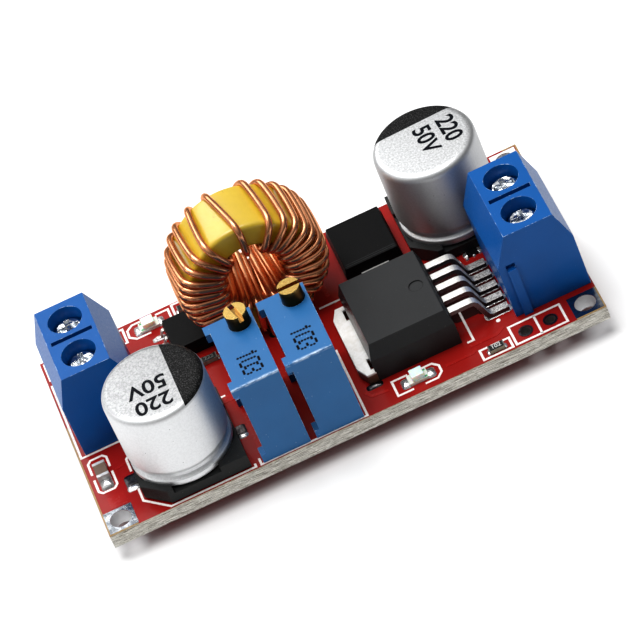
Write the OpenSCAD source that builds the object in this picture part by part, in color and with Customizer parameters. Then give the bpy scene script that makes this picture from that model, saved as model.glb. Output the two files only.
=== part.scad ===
// Step-down driver module for lamps: a drilled circuit board that carries two screw terminal blocks,
// two multi-turn trimmers, two can capacitors, a wound ring core, a power regulator and small chips.
// All sizes are in millimetres. The module stands on its trimmed pin tails, at height zero.

/* [Board] */
// Length of the board, along X
board_l = 51; // [50:0.5:70]
// Width of the board, along Y
board_w = 26; // [25:0.5:34]
// Thickness of the board
board_t = 1.6; // [0.8:0.2:2.4]
// Length of the pin tails under the board
tail_len = 1.8; // [1.2:0.1:3]
// Diameter of the corner fixing holes
fix_hole_d = 2.1; // [1.5:0.1:2.4]
// Distance from the board's edges to the centres of the fixing holes
fix_inset = 1.6; // [1.4:0.05:1.8]
// Diameter of the two plated holes for a pin header
header_hole_d = 1; // [0.8:0.05:1.1]
// Distance between the two header holes
header_pitch = 2.54; // [2:0.02:2.54]
// Gap all round between a pin and its hole in the board
pin_hole_gap = 0.15; // [0.1:0.05:0.25]
// Width of a solder joint beyond its pin, all round
solder_w = 0.55; // [0.3:0.05:0.6]
// Height of a solder joint under the board
solder_h = 1.1; // [0.6:0.1:1.1]

/* [Terminal blocks] */
// Distance between the two poles of a block
pole_pitch = 5.08; // [5:0.01:5.3]
// Depth of a block, from its wire side to its inner side
block_depth = 7.7; // [7.4:0.1:8.4]
// Height of a block
block_h = 10; // [9.5:0.1:12]
// Height of the upright part of a block's long sides
block_wall_h = 6.5; // [5.5:0.1:7]
// Inward lean of the outer side above its upright part
outer_lean = 1.15; // [0.6:0.05:1.3]
// Inward lean of the inner side above its upright part
inner_lean = 1.55; // [1:0.05:1.7]
// Distance from the board's left edge to the left block
left_block_gap = 0.8; // [0.2:0.1:1]
// Distance from the board's right edge to the right block
right_block_gap = 0.15; // [0.1:0.05:0.5]
// Place of the right block's middle along Y
right_block_y = -4.15; // [-4.8:0.05:-3.6]
// Diameter of the holes that the clamp screws are turned through
access_d = 3.45; // [3.3:0.05:3.6]
// Diameter of a clamp screw's head
head_d = 3; // [2.8:0.05:3.1]
// Height of a clamp screw's head
head_h = 1.2; // [0.8:0.1:1.4]
// Diameter of a clamp screw's shank
shank_d = 2.5; // [2:0.1:2.7]
// Rise of a clamp cage, from open to closed
cage_travel = 2; // [1:0.1:2.4]
// Depth of a clamp cage, along the wire
cage_d = 3.2; // [3:0.1:3.3]
// Wall of a clamp cage
cage_wall = 0.5; // [0.4:0.05:0.6]
// Thickness of the threaded top of a clamp cage
cage_top_t = 0.9; // [0.7:0.1:1]
// Free height for the wire in an open cage
wire_room = 2.7; // [2.2:0.1:2.8]
// Thickness of the contact tongue and its leg
tongue_t = 0.7; // [0.5:0.05:0.75]
// Diameter of a block's solder pins
block_pin_d = 1; // [0.8:0.05:1.1]

/* [Trimmers] */
// Width of a trimmer, along X
trim_w = 4.83; // [4.4:0.01:5.2]
// Length of a trimmer, along Y
trim_l = 9.53; // [9:0.01:10]
// Height of a trimmer
trim_h = 10.03; // [8:0.01:11]
// Distance between the two trimmers
trim_gap = 0.65; // [0.4:0.05:0.8]
// Distance from the board's front edge to the trimmers
trim_front_gap = 0.25; // [0.1:0.05:0.6]
// Height of the standing feet on a trimmer's left side
trim_foot = 0.5; // [0.3:0.05:0.6]
// Diameter of an adjusting screw
adjust_d = 2.2; // [1.9:0.05:2.3]
// Height of an adjusting screw above its trimmer
adjust_rise = 1.65; // [1.2:0.05:2]
// Length of an adjusting screw inside its trimmer
adjust_depth = 6; // [4:0.5:7]
// Running gap all round an adjusting or clamp screw
screw_play = 0.05; // [0.03:0.01:0.08]
// Turn of the left trimmer's screw slot from X
left_slot_turn = -77; // [-90:1:90]
// Turn of the right trimmer's screw slot from X
right_slot_turn = 0; // [-90:1:90]
// Diameter of a trimmer's pins
trim_pin_d = 0.5; // [0.4:0.05:0.6]
// Distance between a trimmer's pins
trim_pin_pitch = 2.54; // [2.4:0.02:2.6]

/* [Can capacitors] */
// Diameter of a capacitor's can
can_d = 10; // [8:0.1:10.2]
// Height of a capacitor above the board
cap_h = 10.5; // [7:0.1:12]
// Width of a capacitor's square base beyond its can
cap_rim = 0.3; // [0.3:0.05:0.5]
// Height of the base's corner posts above the board
cap_post_h = 1.75; // [1.3:0.05:1.9]
// Cut across the two corners on the positive side of a base
cap_chamfer = 2.2; // [1:0.1:2.6]
// Reach of a capacitor's leads beyond its base
cap_lead_reach = 0.8; // [0.3:0.05:0.9]

/* [Inductor] */
// Outer diameter of the ring core
core_od = 12.7; // [11:0.1:13.2]
// Inner diameter of the ring core
core_id = 7.7; // [7.2:0.1:8.2]
// Length of the ring core along its axis
core_len = 6.35; // [4.5:0.05:7]
// Rounding of the ring core's edges
core_round = 0.5; // [0.3:0.05:0.6]
// Diameter of the winding wire
wire_d = 0.66; // [0.4:0.02:0.7]
// Number of turns through the ring
turns = 29; // [12:1:29]

/* [Regulator] */
// Length of the regulator's body, along X
reg_l = 8.6; // [8:0.1:9.2]
// Width of the regulator's body, along Y
reg_w = 10.2; // [9:0.1:10.6]
// Height of the regulator
reg_h = 4.4; // [4:0.1:4.8]
// Length of the tab beyond the body
reg_tab_l = 1.45; // [1.2:0.05:1.6]
// Thickness of the tab
reg_tab_t = 1.27; // [1:0.01:1.4]
// Reach of the leads beyond the body
reg_lead_reach = 5.45; // [4.5:0.05:6]
// Distance between the leads
reg_lead_pitch = 1.7; // [1.6:0.02:1.8]
// Width of a lead
reg_lead_w = 0.8; // [0.6:0.05:0.9]
// Thickness of a lead
reg_lead_t = 0.5; // [0.4:0.05:0.6]

/* [Small parts] */
// Length of the diode's body, along Y
diode_l = 6.9; // [6:0.1:7.2]
// Width of the diode's body, along X
diode_w = 5.9; // [5:0.1:6.2]
// Height of the diode
diode_h = 2.4; // [2.1:0.1:2.6]
// Length of the amplifier chip's body, along Y
amp_l = 4.9; // [4.7:0.05:5.2]
// Width of the amplifier chip's body, along X
amp_w = 3.9; // [3.5:0.05:4.2]
// Height of the amplifier chip
amp_h = 1.6; // [1.4:0.05:1.7]
// Length of a chip resistor
res_l = 1.6; // [1:0.05:2]
// Width of a chip resistor
res_w = 0.8; // [0.5:0.05:1]
// Height of a chip resistor
res_h = 0.5; // [0.35:0.05:0.6]
// Length of the chip capacitor, and of an indicator lamp
chip_l = 2; // [1.6:0.05:2.2]
// Width of the chip capacitor, and of an indicator lamp
chip_w = 1.25; // [0.8:0.05:1.35]
// Height of the chip capacitor, and of an indicator lamp
chip_h = 0.95; // [0.6:0.05:1.2]

/* [Hidden] */
$fn = 48;
eps = 0.01;
front = -1;
rear = 1;

// Heights of the board's faces
board_top = tail_len + board_t;
front_edge = -board_w / 2;
back_edge = board_w / 2;
left_edge = -board_l / 2;
right_edge = board_l / 2;

// Terminal block: u runs from the wire side inwards, v along the block, z up from the board
block_len = 2 * pole_pitch;
pole_u = outer_lean + (block_depth - outer_lean - inner_lean) / 2;
play = 0.1;
cage_side_play = 0.15;
cage_floor_z = 0.7;
cage_inner_w = shank_d + 2 * play;
cage_w = cage_inner_w + 2 * cage_wall;
wire_z = cage_floor_z + cage_wall;
tongue_z = wire_z + wire_room;
tongue_top_z = tongue_z + tongue_t;
cage_top_z = tongue_top_z + play + cage_top_t;
cavity_top_z = cage_top_z + cage_travel + play;
head_top_z = cavity_top_z + head_h;
tongue_w = cage_inner_w - 2 * cage_side_play;
tongue_lip = 0.8;
leg_gap = 0.35;
leg_u = pole_u + cage_d / 2 + cage_side_play + leg_gap;
block_pin_u = leg_u + tongue_t / 2;
entry_w = 2.8;
entry_frame = 0.4;
entry_frame_depth = 0.5;
pole_slot_l = 4.2;
pole_slot_w = 0.5;
pole_slot_depth = 1.5;
rib_u = 6.5;
rib_w = 0.9;
rib_out = 0.35;
rib_h = 6;
rib_gap = 0.1;
rib_notch_h = 0.5;
head_edge = 0.35;
recess_w = 0.55;
recess_l = 2.1;
recess_depth = 0.6;
left_block_x = left_edge + left_block_gap;
right_block_x = right_edge - right_block_gap;

// Front row, placed from the right block leftwards
cap_base_w = can_d + cap_rim;
foot_gap = 0.2;
reg_feet_x = right_block_x - block_depth - foot_gap;
reg_x = reg_feet_x - reg_lead_reach - reg_l / 2;
reg_y = right_block_y;
reg_tab_x = reg_x - reg_l / 2 - reg_tab_l;
trim_reg_gap = 1.22;
right_trim_x = reg_tab_x - trim_reg_gap - trim_w / 2;
left_trim_x = right_trim_x - trim_w - trim_gap;
trim_y = front_edge + trim_front_gap + trim_l / 2;
cap_trim_gap = 1.16;
front_cap_x = left_trim_x - trim_w / 2 - cap_trim_gap - cap_base_w / 2;
cap_front_gap = 0.4;
front_cap_y = front_edge + cap_front_gap + cap_base_w / 2;
left_block_room = 0.77;
left_block_y = front_cap_y + cap_base_w / 2 + left_block_room + block_len / 2;

// Rear row, placed from the right edge leftwards
rear_cap_side_gap = 3.55;
rear_cap_x = right_edge - rear_cap_side_gap - cap_base_w / 2;
rear_cap_back_gap = 0.95;
rear_cap_y = back_edge - rear_cap_back_gap - cap_base_w / 2;
diode_cap_gap = 0.85;
diode_x = rear_cap_x - cap_base_w / 2 - diode_cap_gap - diode_w / 2;
diode_back = 5.6;
diode_y = back_edge - diode_back;
ring_gap = 0.75;
wire_slack = 0.15;
run_out_r = core_od / 2 + wire_slack + wire_d / 2;
run_in_r = core_id / 2 - play - wire_d / 2;
run_face = core_len / 2 + play + wire_d / 2;
wound_r = run_out_r + wire_d / 2;
ring_x = diode_x - diode_w / 2 - ring_gap - wound_r;
ring_back = 6.6;
ring_y = back_edge - ring_back;
ring_z = board_top + wound_r;
amp_ring_gap = 0.95;
amp_x = ring_x - wound_r - amp_ring_gap;
amp_back = 5.8;
amp_y = back_edge - amp_back;

// Header holes, from the right and front edges
header_side = 5.2;
header_front = 1.57;
header_x = right_edge - header_side - header_pitch;
header_y = front_edge + header_front;

// Adjusting screw, feet and pins of a trimmer
adjust_side = 1.4;
adjust_back = 1.5;
adjust_slot_w = 0.5;
adjust_slot_depth = 0.7;
trim_foot_l = 1.2;
trim_foot_h = 1;

// Capacitor can and base
cap_lead_t = 0.2;
cap_lead_w = 1.1;
cap_lead_in = 3.6;
cap_plate_t = 1;
cap_seat_z = cap_lead_t + cap_plate_t;
cap_post_play = 0.1;
cap_post_in = 2.4;
can_top_round = 0.6;
can_foot_round = 0.35;
groove_z = 1.35;
groove_w = 0.8;
groove_in = 0.35;

// Winding: each turn runs through the bore, out over the back, across the outside and down the front
wound_arc = 340;
bore_step = wound_arc / (turns - 1);
spread_top = 14;
spread_sides = 7.5;
slant = 0.4;
wire_bow = 0.4;
wire_lift = 0.3;
bend_r = 0.62;
bend_steps = 2;
wire_sides = 6;

// Regulator, diode and amplifier
reg_lean = 0.45;
reg_waist_z = 2.7;
reg_leads = 5;
reg_foot_l = 2.05;
reg_bend = 0.45;
reg_shin_lean = 0.35;
tab_slug_w = 8;
tab_slug_l = 7;
tab_chamfer_x = 0.6;
tab_chamfer_y = 1.4;
tab_bite = 0.1;
tab_notch = [0.35, 1.5];
tab_notch_y = 3.75;
dimple_d = 1.4;
dimple_depth = 0.1;
dimple_in = 1.7;
chip_lead_t = 0.2;
chip_lift = 0.05;
diode_lean = 0.22;
diode_lead_w = 2.9;
diode_lead_out = 0.45;
diode_lead_in = 1.3;
amp_lean = 0.15;
amp_pins = 4;
amp_pitch = 1.27;
amp_pin_w = 0.42;
amp_reach = 1.05;
amp_foot_l = 0.55;
amp_shin_l = 0.28;

// Chip resistors, chip capacitor and indicator lamps
end_cap_l = 0.32;
end_cap_t = 0.03;
lamp_base_h = 0.35;
lamp_lens_l = 1.25;
lamp_lens_in = 0.06;
front_lamp_shift = [-0.9, 1.85];
rear_lamp_shift = [-3.1, -1.7];
chip_cap_shift = [1.65, -3.5];
front_res_shift = [-3.15, 0.95];
rear_res_shift = [0.8, -1.6];
middle_res_shift = [0.9, -1.55];
front_lamp_at = [reg_x, front_edge] + front_lamp_shift;
rear_lamp_at = [amp_x, back_edge] + rear_lamp_shift;
chip_cap_at = [left_edge, left_block_y - block_len / 2] + chip_cap_shift;
front_res_at = [header_x, front_edge] + front_res_shift;
rear_res_at = [amp_x, back_edge] + rear_res_shift;
middle_res_at = [amp_x, amp_y - amp_l / 2] + middle_res_shift;

// Places of every pin through the board, as [x, y, pin diameter], and the fit of the solder round it
solder_fit = 0.05;
function block_pins(x, y) = [for (side = [front, rear]) [x, y + side * pole_pitch / 2, block_pin_d]];
function trim_pins(x) = [for (i = [-1:1]) [x, trim_y + i * trim_pin_pitch, trim_pin_d]];
function wire_tails() = [
    [wire_point(0, -1)[0], wire_point(0, -1)[1], wire_d],
    [wire_point(turns - 1, 1)[0], wire_point(turns - 1, 1)[1], wire_d]
];
all_pins = concat(
    block_pins(left_block_x + block_pin_u, left_block_y),
    block_pins(right_block_x - block_pin_u, right_block_y),
    trim_pins(left_trim_x), trim_pins(right_trim_x), wire_tails()
);

// Plane curves: unit vector, rounded corners and the two sides of a bent strip
function unit(v) = v / norm(v);
function rounded(pts, r, n) = concat(
    [pts[0]],
    [for (i = [1:len(pts) - 2])
        let (a = pts[i] + r * unit(pts[i - 1] - pts[i]), b = pts[i] + r * unit(pts[i + 1] - pts[i]))
        for (k = [0:n])
            let (t = k / n)
            (1 - t) * (1 - t) * a + 2 * t * (1 - t) * pts[i] + t * t * b],
    [pts[len(pts) - 1]]
);
function normal_of(a, b) = let (d = unit(b - a)) [-d[1], d[0]];
function strip_side(path, off) = let (last = len(path) - 1) [
    for (i = [0:last])
        let (
            before = normal_of(path[max(i - 1, 0)], path[max(i, 1)]),
            after = normal_of(path[min(i, last - 1)], path[min(i + 1, last)]),
            m = before + after
        )
        path[i] + m * (2 * off / (m * m))
];
function reversed(list) = [for (i = [len(list) - 1:-1:0]) list[i]];

// A flat strip bent along a path in the XZ plane, centred on Y
module bent_strip(path, t, w) {
    rotate([90, 0, 0])
        linear_extrude(w, center = true)
            polygon(concat(strip_side(path, t / 2), reversed(strip_side(path, -t / 2))));
}

// A moulded block that leans in on all four sides, above its waist and, by another amount, below it
module drafted_block(l, w, heights, lean) {
    intersection() {
        rotate([90, 0, 0])
            linear_extrude(w, center = true)
                drafted_profile(l, heights, lean);
        rotate([90, 0, 90])
            linear_extrude(l, center = true)
                drafted_profile(w, heights, lean);
    }
}

// Outline of such a block: heights are its foot, waist and top, lean its lean below and above
module drafted_profile(l, heights, lean) {
    polygon([
        [-l / 2 + lean[0], heights[0]], [l / 2 - lean[0], heights[0]], [l / 2, heights[1]],
        [l / 2 - lean[1], heights[2]], [-l / 2 + lean[1], heights[2]], [-l / 2, heights[1]]
    ]);
}

// A box centred on X and Y that stands at a given height
module standing_box(l, w, z0, z1) {
    translate([-l / 2, -w / 2, z0])
        cube([l, w, z1 - z0]);
}

// Board with its fixing holes, header holes and pin holes
module circuit_board() {
    color("firebrick")
        difference() {
            standing_box(board_l, board_w, tail_len, board_top);
            for (x = [left_edge + fix_inset, right_edge - fix_inset])
                for (y = [front_edge + fix_inset, back_edge - fix_inset])
                    board_hole(x, y, fix_hole_d);
            for (i = [0:1])
                board_hole(header_x + i * header_pitch, header_y, header_hole_d);
            for (p = all_pins)
                board_hole(p[0], p[1], p[2] + 2 * pin_hole_gap);
        }
}

module board_hole(x, y, d) {
    translate([x, y, tail_len - eps])
        cylinder(h = board_t + 2 * eps, d = d);
}

// Solder cones round the pins, under the board
module solder_joints() {
    color("silver")
        for (p = all_pins)
            translate([p[0], p[1], tail_len])
                solder_cone(p[2] / 2 + solder_fit);
}

module solder_cone(r) {
    steps = 5;
    flank = [
        for (i = [0:steps])
            let (a = 90 * i / steps)
            [r + eps + solder_w * (1 - sin(a)), -solder_h * (1 - cos(a))]
    ];
    rotate_extrude()
        polygon(concat([[r, 0]], flank, [[r, -solder_h]]));
}

// Places of the terminal blocks and of their poles
module at_left_block() {
    translate([left_block_x, left_block_y, board_top])
        children();
}

module at_right_block() {
    translate([right_block_x, right_block_y, board_top])
        rotate(180)
            children();
}

module at_left_pole(side) {
    at_left_block()
        translate([pole_u, side * pole_pitch / 2, 0])
            children();
}

module at_right_pole(side) {
    at_right_block()
        translate([pole_u, -side * pole_pitch / 2, 0])
            children();
}

// Moulded housing: leaning sides, two clamp wells open below, wire entries and a joining rib
module block_housing() {
    difference() {
        union() {
            rotate([90, 0, 0])
                linear_extrude(block_len, center = true)
                    polygon([
                        [0, 0], [block_depth, 0], [block_depth, block_wall_h],
                        [block_depth - inner_lean, block_h], [outer_lean, block_h], [0, block_wall_h]
                    ]);
            translate([0, block_len / 2, 0])
                joining_rib(rib_w, rib_out, rib_h);
        }
        translate([0, -block_len / 2, -eps])
            joining_rib(rib_w + 2 * rib_gap, rib_out + rib_gap, rib_h + rib_gap + eps);
        translate([rib_u, block_len / 2, rib_h + rib_notch_h / 2])
            cube([rib_w, 2 * rib_out, rib_notch_h], center = true);
        translate([pole_u, 0, block_h])
            cube([pole_slot_l, pole_slot_w, 2 * pole_slot_depth], center = true);
        for (side = [front, rear])
            translate([pole_u, side * pole_pitch / 2, 0])
                clamp_well();
    }
}

// Rib that joins one block to the next: it widens outwards from the block's end
module joining_rib(w, out, h) {
    linear_extrude(h)
        polygon([
            [rib_u - w / 2 + out / 2, -eps], [rib_u + w / 2 - out / 2, -eps],
            [rib_u + w / 2, out], [rib_u - w / 2, out]
        ]);
}

// Space in the housing for one pole, about the pole's own axis
module clamp_well() {
    well_d = cage_d + 2 * cage_side_play;
    well_w = cage_w + 2 * cage_side_play;
    slot_w = tongue_w + 2 * cage_side_play;
    leg_room = block_pin_u - pole_u + max(tongue_t, block_pin_d) / 2 + play;
    standing_box(well_d, well_w, -eps, cavity_top_z);
    translate([0, 0, cavity_top_z - eps])
        cylinder(h = block_h - cavity_top_z + 2 * eps, d = access_d);
    translate([-pole_u - eps, -entry_w / 2, wire_z - play])
        cube([pole_u, entry_w, wire_room + play]);
    translate([-pole_u - eps, -entry_w / 2 - entry_frame, wire_z - play - entry_frame])
        cube([entry_frame_depth, entry_w + 2 * entry_frame, wire_room + play + 2 * entry_frame]);
    translate([-well_d / 2 - tongue_lip - play, -slot_w / 2, tongue_z - play])
        cube([well_d + tongue_lip, slot_w, tongue_t + 2 * play]);
    translate([0, -slot_w / 2, -eps])
        cube([leg_room, slot_w, tongue_top_z + play + eps]);
}

// Contact of one pole: a tongue through the cage, a leg behind it and a round solder pin
module pole_contact() {
    tip = -cage_d / 2 - cage_side_play - tongue_lip;
    leg = leg_u - pole_u;
    translate([tip, -tongue_w / 2, tongue_z])
        cube([leg + tongue_t - tip, tongue_w, tongue_t]);
    translate([leg, -tongue_w / 2, 0])
        cube([tongue_t, tongue_w, tongue_z + eps]);
    translate([leg + tongue_t / 2, 0, -board_top])
        cylinder(h = board_top + cage_floor_z, d = block_pin_d);
}

// Cross-recessed clamp screw, which bears on the contact's tongue
module clamp_screw() {
    difference() {
        translate([0, 0, tongue_top_z + screw_play])
            rotate_extrude()
                polygon([
                    [0, 0], [shank_d / 2, 0], [shank_d / 2, cavity_top_z - tongue_top_z - screw_play],
                    [head_d / 2, cavity_top_z - tongue_top_z - screw_play],
                    [head_d / 2, head_top_z - tongue_top_z - screw_play - head_edge],
                    [head_d / 2 - head_edge, head_top_z - tongue_top_z - screw_play],
                    [0, head_top_z - tongue_top_z - screw_play]
                ]);
        for (turn = [0, 90])
            rotate(turn)
                standing_box(recess_l, recess_w, head_top_z - recess_depth, head_top_z + eps);
    }
}

// Square cage that the screw lifts: the wire lies between its floor and the tongue
module clamp_cage() {
    difference() {
        standing_box(cage_d, cage_w, cage_floor_z, cage_top_z);
        standing_box(cage_d + 2 * eps, cage_inner_w, wire_z, tongue_top_z + play);
        translate([0, 0, tongue_top_z])
            cylinder(h = cage_top_t + 2 * play, d = shank_d + 2 * screw_play);
    }
}

module block_contacts() {
    for (side = [front, rear])
        translate([pole_u, side * pole_pitch / 2, 0])
            pole_contact();
}

module left_block_housing() { color("royalblue") at_left_block() block_housing(); }
module left_block_contacts() { color("gold") at_left_block() block_contacts(); }
module left_front_clamp_screw() { color("silver") at_left_pole(front) clamp_screw(); }
module left_rear_clamp_screw() { color("silver") at_left_pole(rear) clamp_screw(); }
module left_front_clamp_cage() { color("lightgray") at_left_pole(front) clamp_cage(); }
module left_rear_clamp_cage() { color("lightgray") at_left_pole(rear) clamp_cage(); }
module right_block_housing() { color("royalblue") at_right_block() block_housing(); }
module right_block_contacts() { color("gold") at_right_block() block_contacts(); }
module right_front_clamp_screw() { color("silver") at_right_pole(front) clamp_screw(); }
module right_rear_clamp_screw() { color("silver") at_right_pole(rear) clamp_screw(); }
module right_front_clamp_cage() { color("lightgray") at_right_pole(front) clamp_cage(); }
module right_rear_clamp_cage() { color("lightgray") at_right_pole(rear) clamp_cage(); }

// Trimmer housing: a box on four feet along its left side, with a well for the screw
module trimmer_housing(x) {
    translate([x, trim_y, board_top])
        difference() {
            union() {
                translate([-trim_w / 2 + trim_foot, -trim_l / 2, 0])
                    cube([trim_w - trim_foot, trim_l, trim_h]);
                for (y = [-trim_l / 2, trim_l / 2 - trim_foot_l], z = [0, trim_h - trim_foot_h])
                    translate([-trim_w / 2, y, z])
                        cube([trim_foot + eps, trim_foot_l, trim_foot_h]);
            }
            translate([trim_w / 2 - adjust_side, trim_l / 2 - adjust_back, trim_h - adjust_depth - play])
                cylinder(h = adjust_depth + 2 * play, d = adjust_d + 2 * screw_play);
        }
}

// Slotted adjusting screw in its well
module trimmer_screw(x, turn) {
    translate([x + trim_w / 2 - adjust_side, trim_y + trim_l / 2 - adjust_back, board_top + trim_h])
        difference() {
            translate([0, 0, -adjust_depth])
                cylinder(h = adjust_depth + adjust_rise, d = adjust_d);
            rotate(turn)
                standing_box(
                    adjust_d + 2 * eps, adjust_slot_w, adjust_rise - adjust_slot_depth, adjust_rise + eps
                );
        }
}

// Three pins in line under a trimmer
module trimmer_pins(x) {
    for (p = trim_pins(x))
        translate([p[0], p[1], 0])
            cylinder(h = board_top, d = p[2]);
}

module left_trimmer_housing() { color("cornflowerblue") trimmer_housing(left_trim_x); }
module left_trimmer_screw() { color("goldenrod") trimmer_screw(left_trim_x, left_slot_turn); }
module left_trimmer_pins() { color("silver") trimmer_pins(left_trim_x); }
module right_trimmer_housing() { color("cornflowerblue") trimmer_housing(right_trim_x); }
module right_trimmer_screw() { color("goldenrod") trimmer_screw(right_trim_x, right_slot_turn); }
module right_trimmer_pins() { color("silver") trimmer_pins(right_trim_x); }

// Places of the capacitors: local X points to the negative, marked side
module at_front_cap() {
    translate([front_cap_x, front_cap_y, board_top])
        children();
}

module at_rear_cap() {
    translate([rear_cap_x, rear_cap_y, board_top])
        rotate(90)
            children();
}

// Drawn can with a rounded top and the groove that grips its seal
module cap_can() {
    r = can_d / 2;
    z0 = cap_seat_z;
    arc = 6;
    top = [
        for (i = [0:arc])
            let (a = 90 * i / arc)
            [r - can_top_round * (1 - cos(a)), cap_h - can_top_round * (1 - sin(a))]
    ];
    foot = [
        for (i = [0:arc])
            let (a = 90 * i / arc)
            [r - can_foot_round * (1 - sin(a)), z0 + can_foot_round * (1 - cos(a))]
    ];
    groove = [
        for (i = [0:2 * arc])
            let (a = 90 * i / arc)
            [r - groove_in * sin(a), z0 + groove_z - groove_w / 2 * cos(a)]
    ];
    rotate_extrude($fn = 96)
        polygon(concat([[0, z0]], foot, groove, top, [[0, cap_h]]));
}

// Base plate with four corner posts that hold the can; two corners are cut on the positive side
module cap_base() {
    h = cap_base_w / 2;
    difference() {
        translate([0, 0, cap_lead_t])
            linear_extrude(cap_post_h - cap_lead_t)
                polygon([
                    [h, -h], [h, h], [-h + cap_chamfer, h],
                    [-h, h - cap_chamfer], [-h, -h + cap_chamfer], [-h + cap_chamfer, -h]
                ]);
        translate([0, 0, cap_seat_z])
            cylinder(h = cap_post_h, d = can_d + 2 * cap_post_play);
        for (turn = [0, 90])
            rotate(turn)
                standing_box(cap_base_w + 2 * eps, 2 * cap_post_in, cap_seat_z, cap_post_h + eps);
    }
}

// Two flat leads under the base
module cap_leads() {
    l = cap_lead_in + cap_lead_reach;
    for (side = [-1, 1])
        translate([side * (cap_base_w / 2 + cap_lead_reach - l / 2), 0, 0])
            standing_box(l, cap_lead_w, 0, cap_lead_t);
}

module front_capacitor_can() { color("lightgray") at_front_cap() cap_can(); }
module front_capacitor_base() { color("black") at_front_cap() cap_base(); }
module front_capacitor_leads() { color("silver") at_front_cap() cap_leads(); }
module rear_capacitor_can() { color("lightgray") at_rear_cap() cap_can(); }
module rear_capacitor_base() { color("black") at_rear_cap() cap_base(); }
module rear_capacitor_leads() { color("silver") at_rear_cap() cap_leads(); }

// Ring core standing on edge, with rounded rims
module inductor_core() {
    color("gold")
        translate([ring_x, ring_y, ring_z])
            rotate([90, 0, 0])
                rotate_extrude($fn = 96)
                    translate([core_id / 2, -core_len / 2])
                        rounded_rect((core_od - core_id) / 2, core_len, core_round);
}

module rounded_rect(w, h, r) {
    steps = 4;
    polygon([
        for (c = [[w - r, h - r, 0], [r, h - r, 90], [r, r, 180], [w - r, r, 270]], i = [0:steps])
            let (a = c[2] + 90 * i / steps)
            [c[0] + r * cos(a), c[1] + r * sin(a)]
    ]);
}

// Angle of a turn, from the top: even in the bore, and outside spread at the top and close at the sides
function bore_angle(i) = -wound_arc / 2 + bore_step * i;
function outside_angle(i) = let (a = bore_angle(i)) a + spread_top * sin(a) + spread_sides * sin(2 * a);
function outside_r(i) = let (a = outside_angle(i))
    run_out_r + wire_bow * pow(sin(a), 2) + wire_lift * pow(max(cos(a), 0), 2);
function ring_point(r, a, y) = [ring_x + r * sin(a), ring_y + y, ring_z + r * cos(a)];
// Bore end of a turn, on the front (-1) or back (1) face
function wire_point(i, side) = ring_point(run_in_r, bore_angle(i), side * run_face);
function turn_points(i) = [
    wire_point(i, -1),
    wire_point(i, 1),
    ring_point(outside_r(i + 0.5 - slant), outside_angle(i + 0.5 - slant), run_face),
    ring_point(outside_r(i + 0.5 + slant), outside_angle(i + 0.5 + slant), -run_face)
];
function tail_point(i, side) = let (p = wire_point(i, side)) [p[0], p[1], 0];
wire_path = rounded(
    concat(
        [tail_point(0, -1)],
        [for (i = [0:turns - 2]) each turn_points(i)],
        [wire_point(turns - 1, -1), wire_point(turns - 1, 1), tail_point(turns - 1, 1)]
    ),
    bend_r, bend_steps
);

// Rings of points round the wire: one side of each ring follows the ring core's circumference
function round_direction(p) = unit([p[2] - ring_z, 0, ring_x - p[0]]);
function wire_ring(i) = let (
    last = len(wire_path) - 1,
    p = wire_path[i],
    t = unit(wire_path[min(i + 1, last)] - wire_path[max(i - 1, 0)]),
    c = round_direction(p),
    b = unit(c - (c * t) * t),
    n = cross(t, b)
) [for (k = [0:wire_sides - 1]) let (a = 360 * k / wire_sides) p + wire_d / 2 * (cos(a) * b + sin(a) * n)];

// Enamelled wire wound through the ring, with both ends down through the board
module inductor_winding() {
    rings = len(wire_path);
    s = wire_sides;
    points = [for (i = [0:rings - 1]) each wire_ring(i)];
    sides = [
        for (i = [0:rings - 2], k = [0:s - 1])
            [i * s + k, (i + 1) * s + k, (i + 1) * s + (k + 1) % s, i * s + (k + 1) % s]
    ];
    ends = [[for (k = [0:s - 1]) k], [for (k = [s - 1:-1:0]) (rings - 1) * s + k]];
    color("sienna")
        polyhedron(points, concat(sides, ends));
}

// Places of the flat packages
module at_regulator() {
    translate([reg_x, reg_y, board_top])
        children();
}

module at_diode() {
    translate([diode_x, diode_y, board_top])
        rotate(90)
            children();
}

module at_amplifier() {
    translate([amp_x, amp_y, board_top])
        children();
}

// Moulded body of the regulator over its tab, with a round mark on top
module regulator_body() {
    color([0.17, 0.17, 0.18])
        at_regulator()
            difference() {
                drafted_block(reg_l, reg_w, [0, reg_waist_z, reg_h], [0, reg_lean]);
                linear_extrude(reg_tab_t)
                    tab_outline();
                translate([reg_l / 2 - dimple_in, 0, reg_h - dimple_depth])
                    cylinder(h = 2 * dimple_depth, d = dimple_d);
            }
}

// Heat tab: a wide lip with cut corners and two notches, and a narrower slug under the body
module tab_outline() {
    lip_x = -reg_l / 2 - reg_tab_l;
    slug_x = -reg_l / 2 + tab_bite;
    difference() {
        polygon([
            [lip_x, -reg_w / 2 + tab_chamfer_y], [lip_x + tab_chamfer_x, -reg_w / 2],
            [slug_x, -reg_w / 2], [slug_x, -tab_slug_w / 2], [slug_x + tab_slug_l, -tab_slug_w / 2],
            [slug_x + tab_slug_l, tab_slug_w / 2], [slug_x, tab_slug_w / 2], [slug_x, reg_w / 2],
            [lip_x + tab_chamfer_x, reg_w / 2], [lip_x, reg_w / 2 - tab_chamfer_y]
        ]);
        for (side = [-1, 1])
            translate([slug_x - tab_notch[0] / 2, side * tab_notch_y])
                square(tab_notch + [eps, 0], center = true);
    }
}

module regulator_tab() {
    color("silver")
        at_regulator()
            linear_extrude(reg_tab_t)
                tab_outline();
}

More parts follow.
